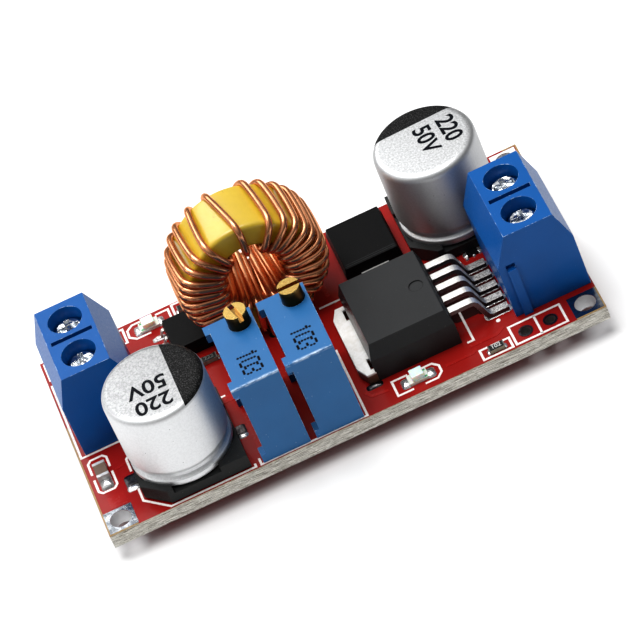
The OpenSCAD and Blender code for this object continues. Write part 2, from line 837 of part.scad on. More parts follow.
// Five bent leads in a row
module regulator_leads() {
    end = reg_l / 2 + reg_lead_reach;
    knee = end - reg_foot_l - reg_shin_lean * (reg_waist_z - reg_lead_t / 2);
    path = rounded(
        [
            [reg_l / 2, reg_waist_z], [knee, reg_waist_z],
            [end - reg_foot_l, reg_lead_t / 2], [end, reg_lead_t / 2]
        ],
        reg_bend, 4
    );
    color("silver")
        at_regulator()
            for (i = [0:reg_leads - 1])
                translate([0, (i - (reg_leads - 1) / 2) * reg_lead_pitch, 0])
                    bent_strip(path, reg_lead_t, reg_lead_w);
}

// Moulded diode on two leads folded under its ends
module diode_body() {
    z0 = chip_lead_t + chip_lift;
    color([0.13, 0.13, 0.13])
        at_diode()
            drafted_block(diode_l, diode_w, [z0, (z0 + diode_h) / 2, diode_h], [diode_lean, diode_lean]);
}

module diode_leads() {
    waist = (chip_lead_t + chip_lift + diode_h) / 2;
    out = diode_l / 2 + diode_lead_out;
    path = rounded(
        [[diode_l / 2, waist], [out, waist], [out, chip_lead_t / 2], [out - diode_lead_in, chip_lead_t / 2]],
        diode_lead_out / 2, 4
    );
    color("silver")
        at_diode()
            for (turn = [0, 180])
                rotate(turn)
                    bent_strip(path, chip_lead_t, diode_lead_w);
}

// Eight-lead amplifier chip
module amplifier_body() {
    color([0.12, 0.12, 0.12])
        at_amplifier()
            drafted_block(amp_w, amp_l, [chip_lift, amp_h / 2, amp_h], [amp_lean, amp_lean]);
}

module amplifier_leads() {
    end = amp_w / 2 + amp_reach;
    path = rounded(
        [
            [amp_w / 2, amp_h / 2], [end - amp_foot_l - amp_shin_l, amp_h / 2],
            [end - amp_foot_l, chip_lead_t / 2], [end, chip_lead_t / 2]
        ],
        chip_lead_t / 2, 3
    );
    color("silver")
        at_amplifier()
            for (turn = [0, 180], i = [0:amp_pins - 1])
                rotate(turn)
                    translate([0, (i - (amp_pins - 1) / 2) * amp_pitch, 0])
                        bent_strip(path, chip_lead_t, amp_pin_w);
}

// Chip with plated ends that stand a little proud of its body, long side along X
module plated_chip(l, w, h) {
    standing_box(l - end_cap_l, w - 2 * end_cap_t, end_cap_t, h - end_cap_t);
    for (side = [-1, 1])
        translate([side * (l - end_cap_l) / 2, 0, 0])
            standing_box(end_cap_l, w, 0, h);
}

module on_board(at) {
    translate([at[0], at[1], board_top])
        children();
}

module chip_capacitor() {
    color("rosybrown")
        on_board(chip_cap_at)
            rotate(90)
                plated_chip(chip_l, chip_w, chip_h);
}

module front_resistor() { color("dimgray") on_board(front_res_at) plated_chip(res_l, res_w, res_h); }
module rear_resistor() { color("dimgray") on_board(rear_res_at) plated_chip(res_l, res_w, res_h); }
module middle_resistor() { color("dimgray") on_board(middle_res_at) plated_chip(res_l, res_w, res_h); }

// Indicator lamp: a plated base with a clear block of resin on it
module lamp_base() {
    standing_box(chip_l, chip_w, 0, lamp_base_h);
}

module lamp_lens() {
    standing_box(lamp_lens_l, chip_w - 2 * lamp_lens_in, lamp_base_h, chip_h);
}

module front_lamp_base() { color("white") on_board(front_lamp_at) lamp_base(); }
module front_lamp_lens() { color("ivory") on_board(front_lamp_at) lamp_lens(); }
module rear_lamp_base() { color("white") on_board(rear_lamp_at) lamp_base(); }
module rear_lamp_lens() { color("ivory") on_board(rear_lamp_at) lamp_lens(); }

circuit_board();
solder_joints();
left_block_housing();
left_block_contacts();
left_front_clamp_screw();
left_rear_clamp_screw();
left_front_clamp_cage();
left_rear_clamp_cage();
right_block_housing();
right_block_contacts();
right_front_clamp_screw();
right_rear_clamp_screw();
right_front_clamp_cage();
right_rear_clamp_cage();
left_trimmer_housing();
left_trimmer_screw();
left_trimmer_pins();
right_trimmer_housing();
right_trimmer_screw();
right_trimmer_pins();
front_capacitor_can();
front_capacitor_base();
front_capacitor_leads();
rear_capacitor_can();
rear_capacitor_base();
rear_capacitor_leads();
inductor_core();
inductor_winding();
regulator_body();
regulator_tab();
regulator_leads();
diode_body();
diode_leads();
amplifier_body();
amplifier_leads();
front_lamp_base();
front_lamp_lens();
rear_lamp_base();
rear_lamp_lens();
chip_capacitor();
front_resistor();
rear_resistor();
middle_resistor();
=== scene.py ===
"""Looks of an open lamp driver module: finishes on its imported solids, and the fine pieces round them.

Lengths inside the builders are in millimetres in the module's own frame, with the board's middle at
the origin in plan and the pin tails' ends at height zero. They turn into metres when a mesh is made.
"""

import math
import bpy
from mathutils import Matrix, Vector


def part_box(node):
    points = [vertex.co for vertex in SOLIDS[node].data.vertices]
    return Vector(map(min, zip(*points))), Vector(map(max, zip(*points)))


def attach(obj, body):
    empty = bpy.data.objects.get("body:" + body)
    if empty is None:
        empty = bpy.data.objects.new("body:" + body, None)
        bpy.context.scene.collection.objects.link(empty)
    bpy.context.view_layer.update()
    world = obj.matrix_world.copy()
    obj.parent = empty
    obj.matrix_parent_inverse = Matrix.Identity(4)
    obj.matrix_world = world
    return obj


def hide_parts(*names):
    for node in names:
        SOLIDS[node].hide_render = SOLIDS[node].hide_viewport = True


bl_info = {
    "name": "Lamp driver module looks",
    "version": (1, 0, 0),
    "blender": (4, 5, 0),
    "location": "3D View > Sidebar > Driver Module",
    "description": "Finishes, prints, solder, winding and studio for a packed lamp driver module",
    "category": "Object",
}

import bmesh
import bpy
import numpy as np
from mathutils import Matrix

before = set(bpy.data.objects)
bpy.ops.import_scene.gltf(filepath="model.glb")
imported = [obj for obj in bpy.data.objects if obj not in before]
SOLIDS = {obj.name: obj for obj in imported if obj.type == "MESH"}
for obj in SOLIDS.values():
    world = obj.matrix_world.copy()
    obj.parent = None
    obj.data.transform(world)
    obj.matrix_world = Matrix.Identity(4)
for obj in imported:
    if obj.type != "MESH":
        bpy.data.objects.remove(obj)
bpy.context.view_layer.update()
STILL = "module"
MM = 0.001
SIDES = ("left", "right")
ROWS = ("front", "rear")
RESISTORS = ("front", "rear", "middle")


def span(node):
    """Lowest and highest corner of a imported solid, in millimetres."""
    low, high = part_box(node)
    return np.array(low) / MM, np.array(high) / MM


def middle(node):
    """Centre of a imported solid's box, in millimetres."""
    low, high = span(node)
    return (low + high) / 2


BOARD_LOW, BOARD_HIGH = span("circuit_board")
BOARD_TOP = BOARD_HIGH[2]
BOARD_UNDER = BOARD_LOW[2]

# Film of stamped ink, gap that figures keep from their surface, and depth of a film's foot
INK_FILM = 0.012
INK_GAP = 0.002
SEAT = 0.02


def srgb(red, green, blue):
    """Linear colour of a screen colour given in steps of 0 to 255."""
    c = np.array([red, green, blue]) / 255.0
    linear = np.where(c <= 0.04045, c / 12.92, ((c + 0.055) / 1.055) ** 2.4)
    return tuple(float(v) for v in linear)


def dimmed(colour, share):
    """A colour times a share, darker below one and lighter above it."""
    return [share * c for c in colour]


# Surfaces


def grid_faces(rows, cols, wrap_rows=False, wrap_cols=False):
    """Four-sided faces between neighbours of a grid of points that are numbered row by row."""
    r = np.arange(rows if wrap_rows else rows - 1)
    c = np.arange(cols if wrap_cols else cols - 1)
    i, j = np.meshgrid(r, c, indexing="ij")
    down, along = (i + 1) % rows, (j + 1) % cols
    corners = [i * cols + j, down * cols + j, down * cols + along, i * cols + along]
    return np.stack(corners, -1).reshape(-1, 4)


def full_turn(sides):
    """Evenly spaced angles once round, in radians."""
    return np.linspace(0, 2 * np.pi, sides, endpoint=False)


def raised(plan, height):
    """Plan points lifted to one height."""
    return np.concatenate([plan, np.full((len(plan), 1), height)], 1)


def loft(loops):
    """Closed skin through a stack of closed loops; each end loop shrinks to its own mean point."""
    ends = [np.repeat(loop.mean(0)[None, None], loops.shape[1], 1) for loop in (loops[0], loops[-1])]
    stack = np.concatenate([ends[0], loops, ends[1]])
    return stack.reshape(-1, 3), grid_faces(stack.shape[0], stack.shape[1], wrap_cols=True)


def ring_skin(loops):
    """Closed skin through loops that come back to the first one, as round a washer."""
    return loops.reshape(-1, 3), grid_faces(loops.shape[0], loops.shape[1], True, True)


def slab(top, bottom):
    """Thin closed plate between two grids of points: each row of both makes one loop of a loft."""
    return loft(np.concatenate([top, bottom[:, ::-1]], 1))


def rounded_plan(low, high, radius, steps=5):
    """Rounded rectangle about the origin, with the centre and the longer side of the real one.

    It has four quarter circles, their centres set in from the corners by the radius.
    """
    low, high = np.array(low, float), np.array(high, float)
    size = high - low
    radius = min(radius, 0.49 * size.min())
    signs = np.array([[1, 1], [-1, 1], [-1, -1], [1, -1]])
    angle = np.radians(90 * np.arange(4)[:, None] + np.linspace(0, 90, steps))
    arcs = radius * np.stack([np.cos(angle), np.sin(angle)], -1)
    loop = (signs * (size / 2 - radius))[:, None] + arcs
    return loop.reshape(-1, 2), (low + high) / 2, size.max()


def stacked(loop, centre, levels):
    """Closed skin through copies of a plan loop, one for each level's size factor and height."""
    factor, height = np.array(levels, float).T
    plan = loop[None] * factor[:, None, None] + centre
    rise = np.broadcast_to(height[:, None, None], plan.shape[:2] + (1,))
    return loft(np.concatenate([plan, rise], -1))


def plate(low, high, base, top, radius):
    """Flat pad: a rounded rectangle lifted from base to top, with a hair of edge rounding."""
    loop, centre, longest = rounded_plan(low, high, radius)
    return stacked(loop, centre, [(1, base), (1, base + 0.7 * (top - base)), (1 - 0.03 / longest, top)])


def pool(low, high, height, radius=0.3):
    """Frozen solder on the board: a rounded rectangle that shrinks as its height follows a dome."""
    loop, centre, _ = rounded_plan(low, high, radius)
    t = np.linspace(0, 1, 7)
    dome = BOARD_TOP + height * (1 - (1 - t) ** 2) ** 0.7
    return stacked(loop, centre, np.stack([1 - 0.96 * t, dome], -1))


def stroke(points, width, base, top, closed=False):
    """Printed line: a flat bar section carried along a plan path, mitred on each corner's bisector."""
    p = np.array(points, float)
    ends = np.concatenate([p, p[:1]]) if closed else p
    step = np.diff(ends, axis=0)
    step /= np.linalg.norm(step, axis=1, keepdims=True)
    normal = np.stack([-step[:, 1], step[:, 0]], -1)
    if closed:
        before, after = np.roll(normal, 1, 0), normal
    else:
        before, after = np.concatenate([normal[:1], normal]), np.concatenate([normal, normal[-1:]])
    mitre = (before + after) / (1 + (before * after).sum(1, keepdims=True))
    left, right = p + mitre * width / 2, p - mitre * width / 2
    bar = [raised(left, base), raised(left, top), raised(right, top), raised(right, base)]
    loops = np.stack(bar, 1)
    return ring_skin(loops) if closed else loft(loops)


def softened(points, reach, steps=6):
    """Path with each inner corner replaced by a curve between points set back along its two edges."""
    p = np.array(points, float)
    reach = np.broadcast_to(np.asarray(reach, float), len(p) - 2)[:, None]
    corner = p[1:-1]
    back, ahead = p[:-2] - corner, p[2:] - corner
    a = corner + reach * back / np.linalg.norm(back, axis=1, keepdims=True)
    b = corner + reach * ahead / np.linalg.norm(ahead, axis=1, keepdims=True)
    t = np.linspace(0, 1, steps)[None, :, None]
    curve = (1 - t) ** 2 * a[:, None] + 2 * t * (1 - t) * corner[:, None] + t**2 * b[:, None]
    return np.concatenate([p[:1], curve.reshape(-1, p.shape[1]), p[-1:]])


def revolved(profile, centre, sides=96, axis="z"):
    """Turned shape: a profile of radius and height carried round an upright or a front-to-back axis."""
    turn = full_turn(sides)
    radius, along = np.asarray(profile, float).T
    across = radius[:, None] * np.cos(turn)
    other = radius[:, None] * np.sin(turn)
    run = np.broadcast_to(along[:, None], across.shape)
    order = (across, other, run) if axis == "z" else (across, run, other)
    points = np.stack(order, -1) + np.asarray(centre, float)
    return points.reshape(-1, 3), grid_faces(len(profile), sides, wrap_cols=True)


def tube(path, side, radius, sides):
    """Round wire: a circle carried along a path, square to it, with its zero mark towards side."""
    tangent = np.gradient(path, axis=0)
    tangent /= np.linalg.norm(tangent, axis=1, keepdims=True)
    first = side - (side * tangent).sum(1, keepdims=True) * tangent
    first /= np.linalg.norm(first, axis=1, keepdims=True)
    second = np.cross(tangent, first)
    turn = full_turn(sides)[None, :, None]
    return loft(path[:, None] + radius * (np.cos(turn) * first[:, None] + np.sin(turn) * second[:, None]))


def dots(centres, radius, base, top, sides=8):
    """Ink dots: each is three rings, a foot and a top of one radius and a point that closes the top."""
    turn = full_turn(sides)
    rim = radius * np.stack([np.cos(turn), np.sin(turn)], -1)
    spread = np.array([1, 1, 0])[:, None, None] * rim
    plan = np.asarray(centres, float)[:, None, None] + spread
    height = np.broadcast_to(np.array([base, top, top])[:, None, None], plan.shape[:3] + (1,))
    points = np.concatenate([plan, height], -1)
    offset = (np.arange(len(points)) * 3 * sides)[:, None, None]
    return points.reshape(-1, 3), (grid_faces(3, sides, wrap_cols=True) + offset).reshape(-1, 4)


def square_pad(centre, half, hole, base, top, rays=64):
    """Square pad with a round hole: one ray for each direction meets the square and the circle."""
    turn = full_turn(rays)
    ray = np.stack([np.cos(turn), np.sin(turn)], -1)
    outer = np.asarray(centre) + ray * (half / np.abs(ray).max(1))[:, None]
    inner = np.asarray(centre) + ray * hole
    bar = [raised(outer, base), raised(outer, top), raised(inner, top), raised(inner, base)]
    return ring_skin(np.stack(bar))


def washer(centre, outer, inner, base, top):
    """Round pad with a round hole: a bar section carried once round."""
    profile = [(outer, base), (outer, top), (inner, top), (inner, base), (outer, base)]
    return revolved(profile, (*centre, 0), sides=32)


# Objects

# Distances in metres at which points are joined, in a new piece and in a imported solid
MERGE = 2e-8
WELD = 2e-7
BEVEL_FROM = math.radians(40)
# Figure height, line spacing and boldness as shares of the text's size or height
CAP_SHARE = 0.69
LINE_SPACE = 0.98
BOLD_SHARE = 0.03


def linked(name, data):
    """A new object in the scene."""
    obj = bpy.data.objects.new(name, data)
    bpy.context.scene.collection.objects.link(obj)
    return obj


def show(name, mesh, finish, body, stands_for, crease):
    """Makes a mesh a piece that rides on a body, with its finish and the solid it covers."""
    if crease:
        mesh.shade_smooth()
        mesh.set_sharp_from_angle(angle=math.radians(crease))
    mesh.materials.append(finish)
    obj = linked(name, mesh)
    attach(obj, body)
    if stands_for:
        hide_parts(*stands_for)
    return obj


def piece(name, skins, finish, body=STILL, stands_for=(), crease=35):
    """One object from several skins of points and faces: doubles merged, faces turned outwards."""
    counts = np.cumsum([0] + [len(points) for points, _ in skins])
    points = np.concatenate([points for points, _ in skins]) * MM
    faces = np.concatenate([faces + start for (_, faces), start in zip(skins, counts)])
    mesh = bpy.data.meshes.new(name)
    mesh.from_pydata(points.tolist(), [], faces.tolist())
    work = bmesh.new()
    work.from_mesh(mesh)
    bmesh.ops.remove_doubles(work, verts=work.verts, dist=MERGE)
    bmesh.ops.recalc_face_normals(work, faces=work.faces)
    work.to_mesh(mesh)
    work.free()
    return show(name, mesh, finish, body, stands_for, crease)


def lettering(name, lines, height, axes, finish):
    """Printed figures: flat text with a film of ink, made a mesh and laid along axes.

    The axes are the text's middle, its direction and its upward direction.
    """
    origin, along, up = (np.array(v, float) for v in axes)
    curve = bpy.data.curves.new(name, "FONT")
    curve.body = lines
    curve.align_x, curve.align_y = "CENTER", "CENTER"
    curve.size = height / CAP_SHARE
    curve.space_line = LINE_SPACE
    curve.offset = BOLD_SHARE * height
    curve.extrude = INK_FILM
    curve.resolution_u = 4
    maker = linked(name + "_maker", curve)
    view = bpy.context.evaluated_depsgraph_get()
    mesh = bpy.data.meshes.new_from_object(maker.evaluated_get(view))
    bpy.data.objects.remove(maker)
    bpy.data.curves.remove(curve)
    mesh.name = name
    mesh.materials.clear()
    flat = np.zeros(len(mesh.vertices) * 3)
    mesh.vertices.foreach_get("co", flat)
    basis = np.stack([along, up, np.cross(along, up)])
    mesh.vertices.foreach_set("co", ((origin + flat.reshape(-1, 3) @ basis) * MM).ravel())
    mesh.update()
    return show(name, mesh, finish, STILL, (), 0)


def dress(node, finish, edge=0.0, edge_wear_and_highlight=None):
    """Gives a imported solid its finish, and where edge is set, rounded edges with a finish of their own."""
    solid = SOLIDS[node]
    solid.data.materials.clear()
    solid.data.materials.append(finish)
    if edge:
        solid.data.materials.append(edge_wear_and_highlight or finish)
        weld = solid.modifiers.new("weld", "WELD")
        weld.merge_threshold = WELD
        bevel = solid.modifiers.new("edge", "BEVEL")
        bevel.width = edge * MM
        bevel.segments = 2
        bevel.limit_method = "ANGLE"
        bevel.angle_limit = BEVEL_FROM
        bevel.material = 1
        bevel.harden_normals = True
    return solid


# Finishes

# Limits between which nearly all of a cloudy value lies
USUAL = (0.3, 0.7)


class Wiring:
    """A tree of shader nodes: its methods add nodes and give back the sockets to wire on."""

    def __init__(self, tree):
        self.nodes = tree.nodes
        self.links = tree.links

    def put(self, socket, value):
        """Wires a socket to another one, or sets it to a number or colour."""
        if isinstance(value, bpy.types.NodeSocket):
            self.links.new(value, socket)
        elif socket.type == "RGBA" and len(value) == 3:
            socket.default_value = (*value, 1.0)
        else:
            socket.default_value = value

    def add(self, kind, inputs, **settings):
        """A new node with its settings, and its inputs wired or set by name or number."""
        node = self.nodes.new("ShaderNode" + kind)
        for key, value in settings.items():
            setattr(node, key, value)
        for key, value in inputs.items():
            self.put(node.inputs[key], value)
        return node

    def limits(self, value, low, high, out_low=0.0, out_high=1.0):
        """Value scaled from one pair of limits to another, and held inside them."""
        inputs = {"Value": value, "From Min": low, "From Max": high}
        return self.add("MapRange", {**inputs, "To Min": out_low, "To Max": out_high}).outputs[0]


class Finish(Wiring):
    """A procedural material, started from constants of its shader."""

    def __init__(self, name, **constants):
        self.material = bpy.data.materials.new(name)
        self.material.use_nodes = True
        super().__init__(self.material.node_tree)
        self.shader = self.nodes["Principled BSDF"]
        for key, value in constants.items():
            self.set(key.replace("_", " "), value)

    def set(self, name, value):
        """Sets or wires an input of the shader itself."""
        self.put(self.shader.inputs[name], value)

    def wired(self, name):
        """What an input of the shader is wired to so far."""
        return self.shader.inputs[name].links[0].from_socket

    def coords(self, stretch=(1, 1, 1), centre=(0, 0, 0), turn=(0, 0, 0)):
        """Object coordinates in millimetres about a centre, turned, then stretched."""
        inputs = {
            "Vector": self.add("TexCoord", {}).outputs["Object"],
            "Location": dimmed(centre, MM),
            "Rotation": turn,
            "Scale": [MM / s for s in stretch],
        }
        return self.add("Mapping", inputs, vector_type="TEXTURE").outputs[0]

    def noise(self, at, scale, detail=2.0, rough=0.5, twist=0.0):
        """Cloudy value round one half, mostly within the usual limits."""
        inputs = {"Vector": at, "Scale": scale, "Detail": detail}
        return self.add("TexNoise", {**inputs, "Roughness": rough, "Distortion": twist}).outputs[0]

    def cells(self, at, scale):
        """Distance to the nearest of many scattered points."""
        return self.add("TexVoronoi", {"Vector": at, "Scale": scale}).outputs["Distance"]

    def mix(self, share, a, b):
        """Colour between a and b."""
        return self.add("Mix", {0: share, 6: a, 7: b}, data_type="RGBA").outputs[2]

    def math(self, operation, a, b=0.0):
        """One arithmetic step."""
        return self.add("Math", {0: a, 1: b}, operation=operation).outputs[0]

    def times(self, a, b):
        """Product of two values."""
        return self.math("MULTIPLY", a, b)

    def plus(self, a, b):
        """Sum of two values."""
        return self.math("ADD", a, b)

    def size(self, a):
        """Value without its sign."""
        return self.math("ABSOLUTE", a)

    def radius(self, x, y):
        """Distance from an upright axis."""
        squares = self.plus(self.math("POWER", x, 2.0), self.math("POWER", y, 2.0))
        return self.math("POWER", squares, 0.5)

    def parts(self, vector):
        """The three numbers of a vector."""
        return self.add("SeparateXYZ", {"Vector": vector}).outputs

    def facing(self):
        """The three parts of the surface's own direction."""
        return self.parts(self.add("TexCoord", {}).outputs["Normal"])

    def colour(self, share, a, b):
        """Wires a colour between a and b to the shader."""
        self.set("Base Color", self.mix(share, a, b))

    def rough(self, cloud, low, high):
        """Wires a cloudy value to the shader's roughness, from low to high."""
        self.set("Roughness", self.limits(cloud, *USUAL, low, high))

    def bump(self, height, strength, depth):
        """Wires a height, its depth in millimetres, to the shader's normal."""
        inputs = {"Height": height, "Strength": strength, "Distance": depth * MM}
        self.set("Normal", self.add("Bump", inputs).outputs[0])


FINISHES = {}


def finish(name):
    """A material by its name, made on first use by the function of that name in MAKERS."""
    if name not in FINISHES:
        FINISHES[name] = MAKERS[name](name)
    return FINISHES[name]


def looks():
    """The user's sizes and colours."""
    return bpy.context.scene.driver_looks


def two_tone(name, light, dark, scale, detail=3, **constants):
    """Plain finish that drifts between two colours."""
    m = Finish(name, **constants)
    m.colour(m.noise(m.coords(), scale, detail), light, dark)
    return m.material


def lacquer(name):
    """Start of both red finishes: thin lacquer with a faint clear coat."""
    return Finish(name, IOR=1.5, Specular_IOR_Level=0.16, Coat_Weight=0.08, Coat_Roughness=0.12)


def red_mask(name):
    """Red lacquer on the faces, fibre laminate on the rim, tin in the holes, painted darker as shade except
    in the corner holes, which are painted near white as light.
    """
    m = lacquer(name)
    at = m.coords()
    x, y, z = m.parts(at)
    cloud = m.noise(at, 0.25, 3)
    mask = looks().board.mask_colour
    red = m.mix(cloud, mask, dimmed(mask, 0.72))

    grain = m.noise(m.coords((0.22, 0.22, 5)), 2.4, 4, 0.7)
    flecks = m.noise(m.coords((0.5, 0.5, 2.5), turn=(0.5, 0, 0.2)), 3.5, 3, 0.7, 1.5)
    fibre = m.mix(m.limits(grain, 0.36, 0.62), srgb(96, 88, 72), srgb(240, 236, 226))
    fibre = m.mix(m.limits(flecks, 0.5, 0.68), fibre, srgb(248, 247, 240))
    near_top = m.limits(z, BOARD_TOP - 0.25, BOARD_TOP - 0.02, 0.0, 0.45)
    fibre = m.mix(near_top, fibre, srgb(150, 120, 60))

    upright = m.limits(m.size(m.facing()[2]), 0.75, 0.6)
    plated = upright
    for place, edge in ((x, BOARD_HIGH[0]), (y, BOARD_HIGH[1])):
        plated = m.times(plated, m.limits(m.size(place), edge - 0.1, edge - 0.2))
    # Hole walls: painted shade in the header holes, painted light in the corner holes.
    corner = m.limits(m.size(x), CORNER_X - 2.4, CORNER_X - 1.4)
    tin = m.mix(corner, srgb(146, 143, 142), srgb(226, 226, 227))
    m.colour(plated, m.mix(upright, red, fibre), tin)
    m.set("Metallic", plated)
    dull = m.math("MAXIMUM", upright, m.limits(cloud, 0.6, 0.9, 0, 0.1))
    m.set("Roughness", m.limits(dull, 0, 1, 0.24, 0.6))
    m.bump(m.plus(m.times(grain, upright), m.times(m.noise(at, 2.5), 0.04)), 0.5, 0.12)
    return m.material


def raised_mask(name):
    """The same red lacquer where it runs over copper, a shade lighter and smoother."""
    m = lacquer(name)
    at = m.coords()
    mask = looks().board.mask_colour
    m.colour(m.noise(at, 0.4, 3), dimmed(mask, 1.08), dimmed(mask, 0.85))
    m.rough(m.noise(at, 3.0), 0.2, 0.3)
    m.bump(m.noise(at, 2.0), 0.2, 0.03)
    return m.material


def white_ink(name):
    """Printed white ink, thin and pinkish where the mask shows through."""
    m = Finish(name, Roughness=0.55)
    thin = m.noise(m.coords(), 4.0, 4, 0.65)
    m.colour(m.limits(thin, 0.5, 0.75), srgb(244, 240, 236), srgb(226, 190, 184))
    m.bump(thin, 0.3, 0.02)
    return m.material


def black_ink(name):
    """Dense black print with fine bright specks of the metal below it."""
    m = Finish(name, Roughness=0.5, Specular_IOR_Level=0.12)
    specks = m.noise(m.coords(), 9.0, 3, 0.7)
    m.colour(m.limits(specks, 0.52, 0.74), srgb(8, 8, 9), srgb(96, 96, 96))
    return m.material


def plain_ink(name):
    """Black figures of a stamp or an ink jet, a little greyer where they are thin."""
    black, grey = srgb(6, 7, 11), srgb(16, 18, 26)
    return two_tone(name, black, grey, 5.0, Roughness=0.45, Specular_IOR_Level=0.06)


def grey_ink(name):
    """Thin pale figures on black glaze."""
    return two_tone(name, srgb(214, 214, 210), srgb(150, 150, 148), 6.0, Roughness=0.5)


def shaded_grey_ink(name):
    """Grey figures painted darker as shade, hardly lighter than the glaze."""
    return two_tone(name, srgb(112, 110, 106), srgb(62, 61, 60), 6.0, Roughness=0.5)


def green_ink(name):
    """Green marks at one end of a lamp."""
    return two_tone(name, srgb(40, 140, 84), srgb(96, 170, 120), 4.0, Roughness=0.4)


def bare_laminate(name):
    """Fibre laminate with no lacquer on it, yellow-brown."""
    return two_tone(name, srgb(178, 150, 96), srgb(124, 92, 52), 2.0, 4, Roughness=0.5)


def painted_shade_film(name):
    """Dark brown glossy sheet between soldered feet, painted shade of the regulator and its leads."""
    dark, brown = srgb(30, 8, 8), srgb(64, 13, 11)
    return two_tone(name, dark, brown, 1.6, 4, Roughness=0.35, Specular_IOR_Level=0.15)


def lamp_white(name):
    """White lamp moulding with a faint green tint."""
    white, green = srgb(240, 240, 232), srgb(206, 216, 200)
    glow = {"Subsurface_Weight": 0.2, "Subsurface_Scale": 0.4 * MM}
    return two_tone(name, white, green, 2.0, Roughness=0.35, **glow)


def lamp_resin(name):
    """Clear resin of the lamps, milky and slightly green."""
    white, green = srgb(252, 253, 249), srgb(228, 238, 226)
    glow = {"Subsurface_Weight": 0.9, "Subsurface_Scale": 1.0 * MM}
    return two_tone(name, white, green, 1.5, Roughness=0.18, IOR=1.5, **glow)


def tin_finish(name, bright, dull, rough, scale, depth=0.05, metal=1.0):
    """Tinned or soldered metal: patches of two greys, with roughness and dents that follow them."""
    m = Finish(name, Metallic=metal)
    patch = m.noise(m.coords(), scale, 4, 0.6, 0.4)
    m.colour(m.limits(patch, 0.35, 0.65), bright, dull)
    m.rough(patch, *rough)
    m.bump(patch, 0.5, depth)
    return m.material


def solder_tin(name):
    """Bright frozen solder."""
    bright, dull = srgb(238, 238, 236), srgb(164, 164, 166)
    return tin_finish(name, bright, dull, rough=(0.18, 0.38), scale=2.0, depth=0.12, metal=0.85)


def dark_reflection_tin(name):
    """Levelled tin on a bare pad, mirror-like, its grey darkened as painted dark reflection."""
    return tin_finish(name, srgb(156, 159, 163), srgb(104, 108, 113), rough=(0.1, 0.26), scale=1.6)


def sheen_white_tin(name):
    """Tin on a bare pad, a pale satin, its near white a painted sheen."""
    bright, dull = srgb(250, 250, 248), srgb(226, 226, 224)
    return tin_finish(name, bright, dull, rough=(0.4, 0.55), scale=1.6, metal=0.3)


def shade_darkened_tin(name):
    """Tin round the header holes, on the cans' leads and in a few pools, painted near black as shade and
    dark reflection.
    """
    return tin_finish(name, srgb(92, 90, 91), srgb(42, 41, 44), rough=(0.25, 0.4), scale=2.5)


def bent_tin(name, side_shade_share):
    """Matt tin of bent leads: off-white above, greyer and spotted lower down, with painted shade by a share
    on the front and back sides.
    """
    m = Finish(name, Metallic=0.75)
    at = m.coords()
    patch = m.noise(at, 3.0, 4, 0.6, 0.4)
    bright = m.mix(m.limits(patch, 0.35, 0.65), srgb(252, 251, 247), srgb(222, 220, 214))
    spots = m.limits(m.noise(at, 6.0, 3, 0.7), 0.42, 0.6)
    dull = m.mix(spots, srgb(218, 216, 212), srgb(134, 132, 130))
    tin = m.mix(m.limits(m.parts(at)[2], BOARD_TOP + 0.7, BOARD_TOP + 1.8), dull, bright)
    # Front and back sides of the leads darkened as painted shade.
    cut = m.limits(m.size(m.facing()[1]), 0.6, 0.8, 0.0, side_shade_share)
    m.colour(cut, tin, srgb(48, 42, 44))
    m.rough(patch, 0.3, 0.44)
    m.bump(patch, 0.4, 0.03)
    return m.material


def lead_tin(name):
    """Leads and pins that are tinned all round."""
    return bent_tin(name, 0.0)


def strip_tin(name):
    """Leads cut from a tinned strip, their front and back sides painted dark as shade."""
    return bent_tin(name, 0.85)


def tab_tin(name):
    """Matt tin on the heat tab, nearly white, with a few dents, and painted dark brown shade on its sides
    below the top.
    """
    m = Finish(name, Metallic=0.15)
    at = m.coords()
    patch = m.noise(at, 1.6, 4, 0.6, 0.4)
    tin = m.mix(m.limits(patch, 0.35, 0.65), srgb(254, 254, 252), srgb(236, 234, 228))
    stains = m.limits(m.noise(at, 2.6, 5, 0.7), 0.66, 0.74, 0.0, 0.7)
    tin = m.mix(stains, tin, srgb(120, 116, 106))
    top = span("regulator_tab")[1][2]
    # Sides below the tab's top painted dark as shade.
    m.colour(m.limits(m.parts(at)[2], top - 0.12, top - 0.3), tin, srgb(104, 74, 58))
    m.rough(patch, 0.34, 0.5)
    m.bump(patch, 0.5, 0.08)
    return m.material


def zinc_plate(name):
    """Bright zinc on clamp screws, broken into small facets that glint."""
    m = Finish(name, Metallic=1.0)
    at = m.coords()
    m.colour(m.noise(at, 3.0, 3), srgb(246, 248, 250), srgb(186, 192, 198))
    m.rough(m.noise(at, 4.0), 0.1, 0.26)
    m.bump(m.plus(m.cells(at, 0.75), m.noise(at, 1.2, 1)), 0.7, 0.28)
    return m.material


def moulded(name, colour, rough, speck, speck_share, gloss, grain=0.03):
    """Start of a moulded plastic: slow shade drift, sparse pale specks and a fine skin."""
    m = Finish(name, IOR=1.5, Specular_IOR_Level=gloss)
    at = m.coords()
    tone = m.mix(m.noise(at, 0.35, 3), dimmed(colour, 1.08), dimmed(colour, 0.88))
    m.colour(m.limits(m.cells(at, 1.6), 0.06, 0.035, 0.0, speck_share), tone, speck)
    m.rough(m.noise(at, 5.0, 3), rough - 0.06, rough + 0.08)
    m.bump(m.noise(at, 5.0), 0.2, grain)
    return m


def wear_and_highlight_edge(name, colour, pale, share):
    """The same plastic on its rounded edges, paler in patches as wear and painted highlight."""
    m = Finish(name, Roughness=0.5)
    at = m.coords()
    # Pale patches stand for wear and for painted edge highlight.
    m.colour(m.limits(m.noise(at, 1.3, 4, 0.7), 0.62 - share, 0.72 - share), colour, pale)
    m.bump(m.noise(at, 6.0, 3), 0.4, 0.04)
    return m.material


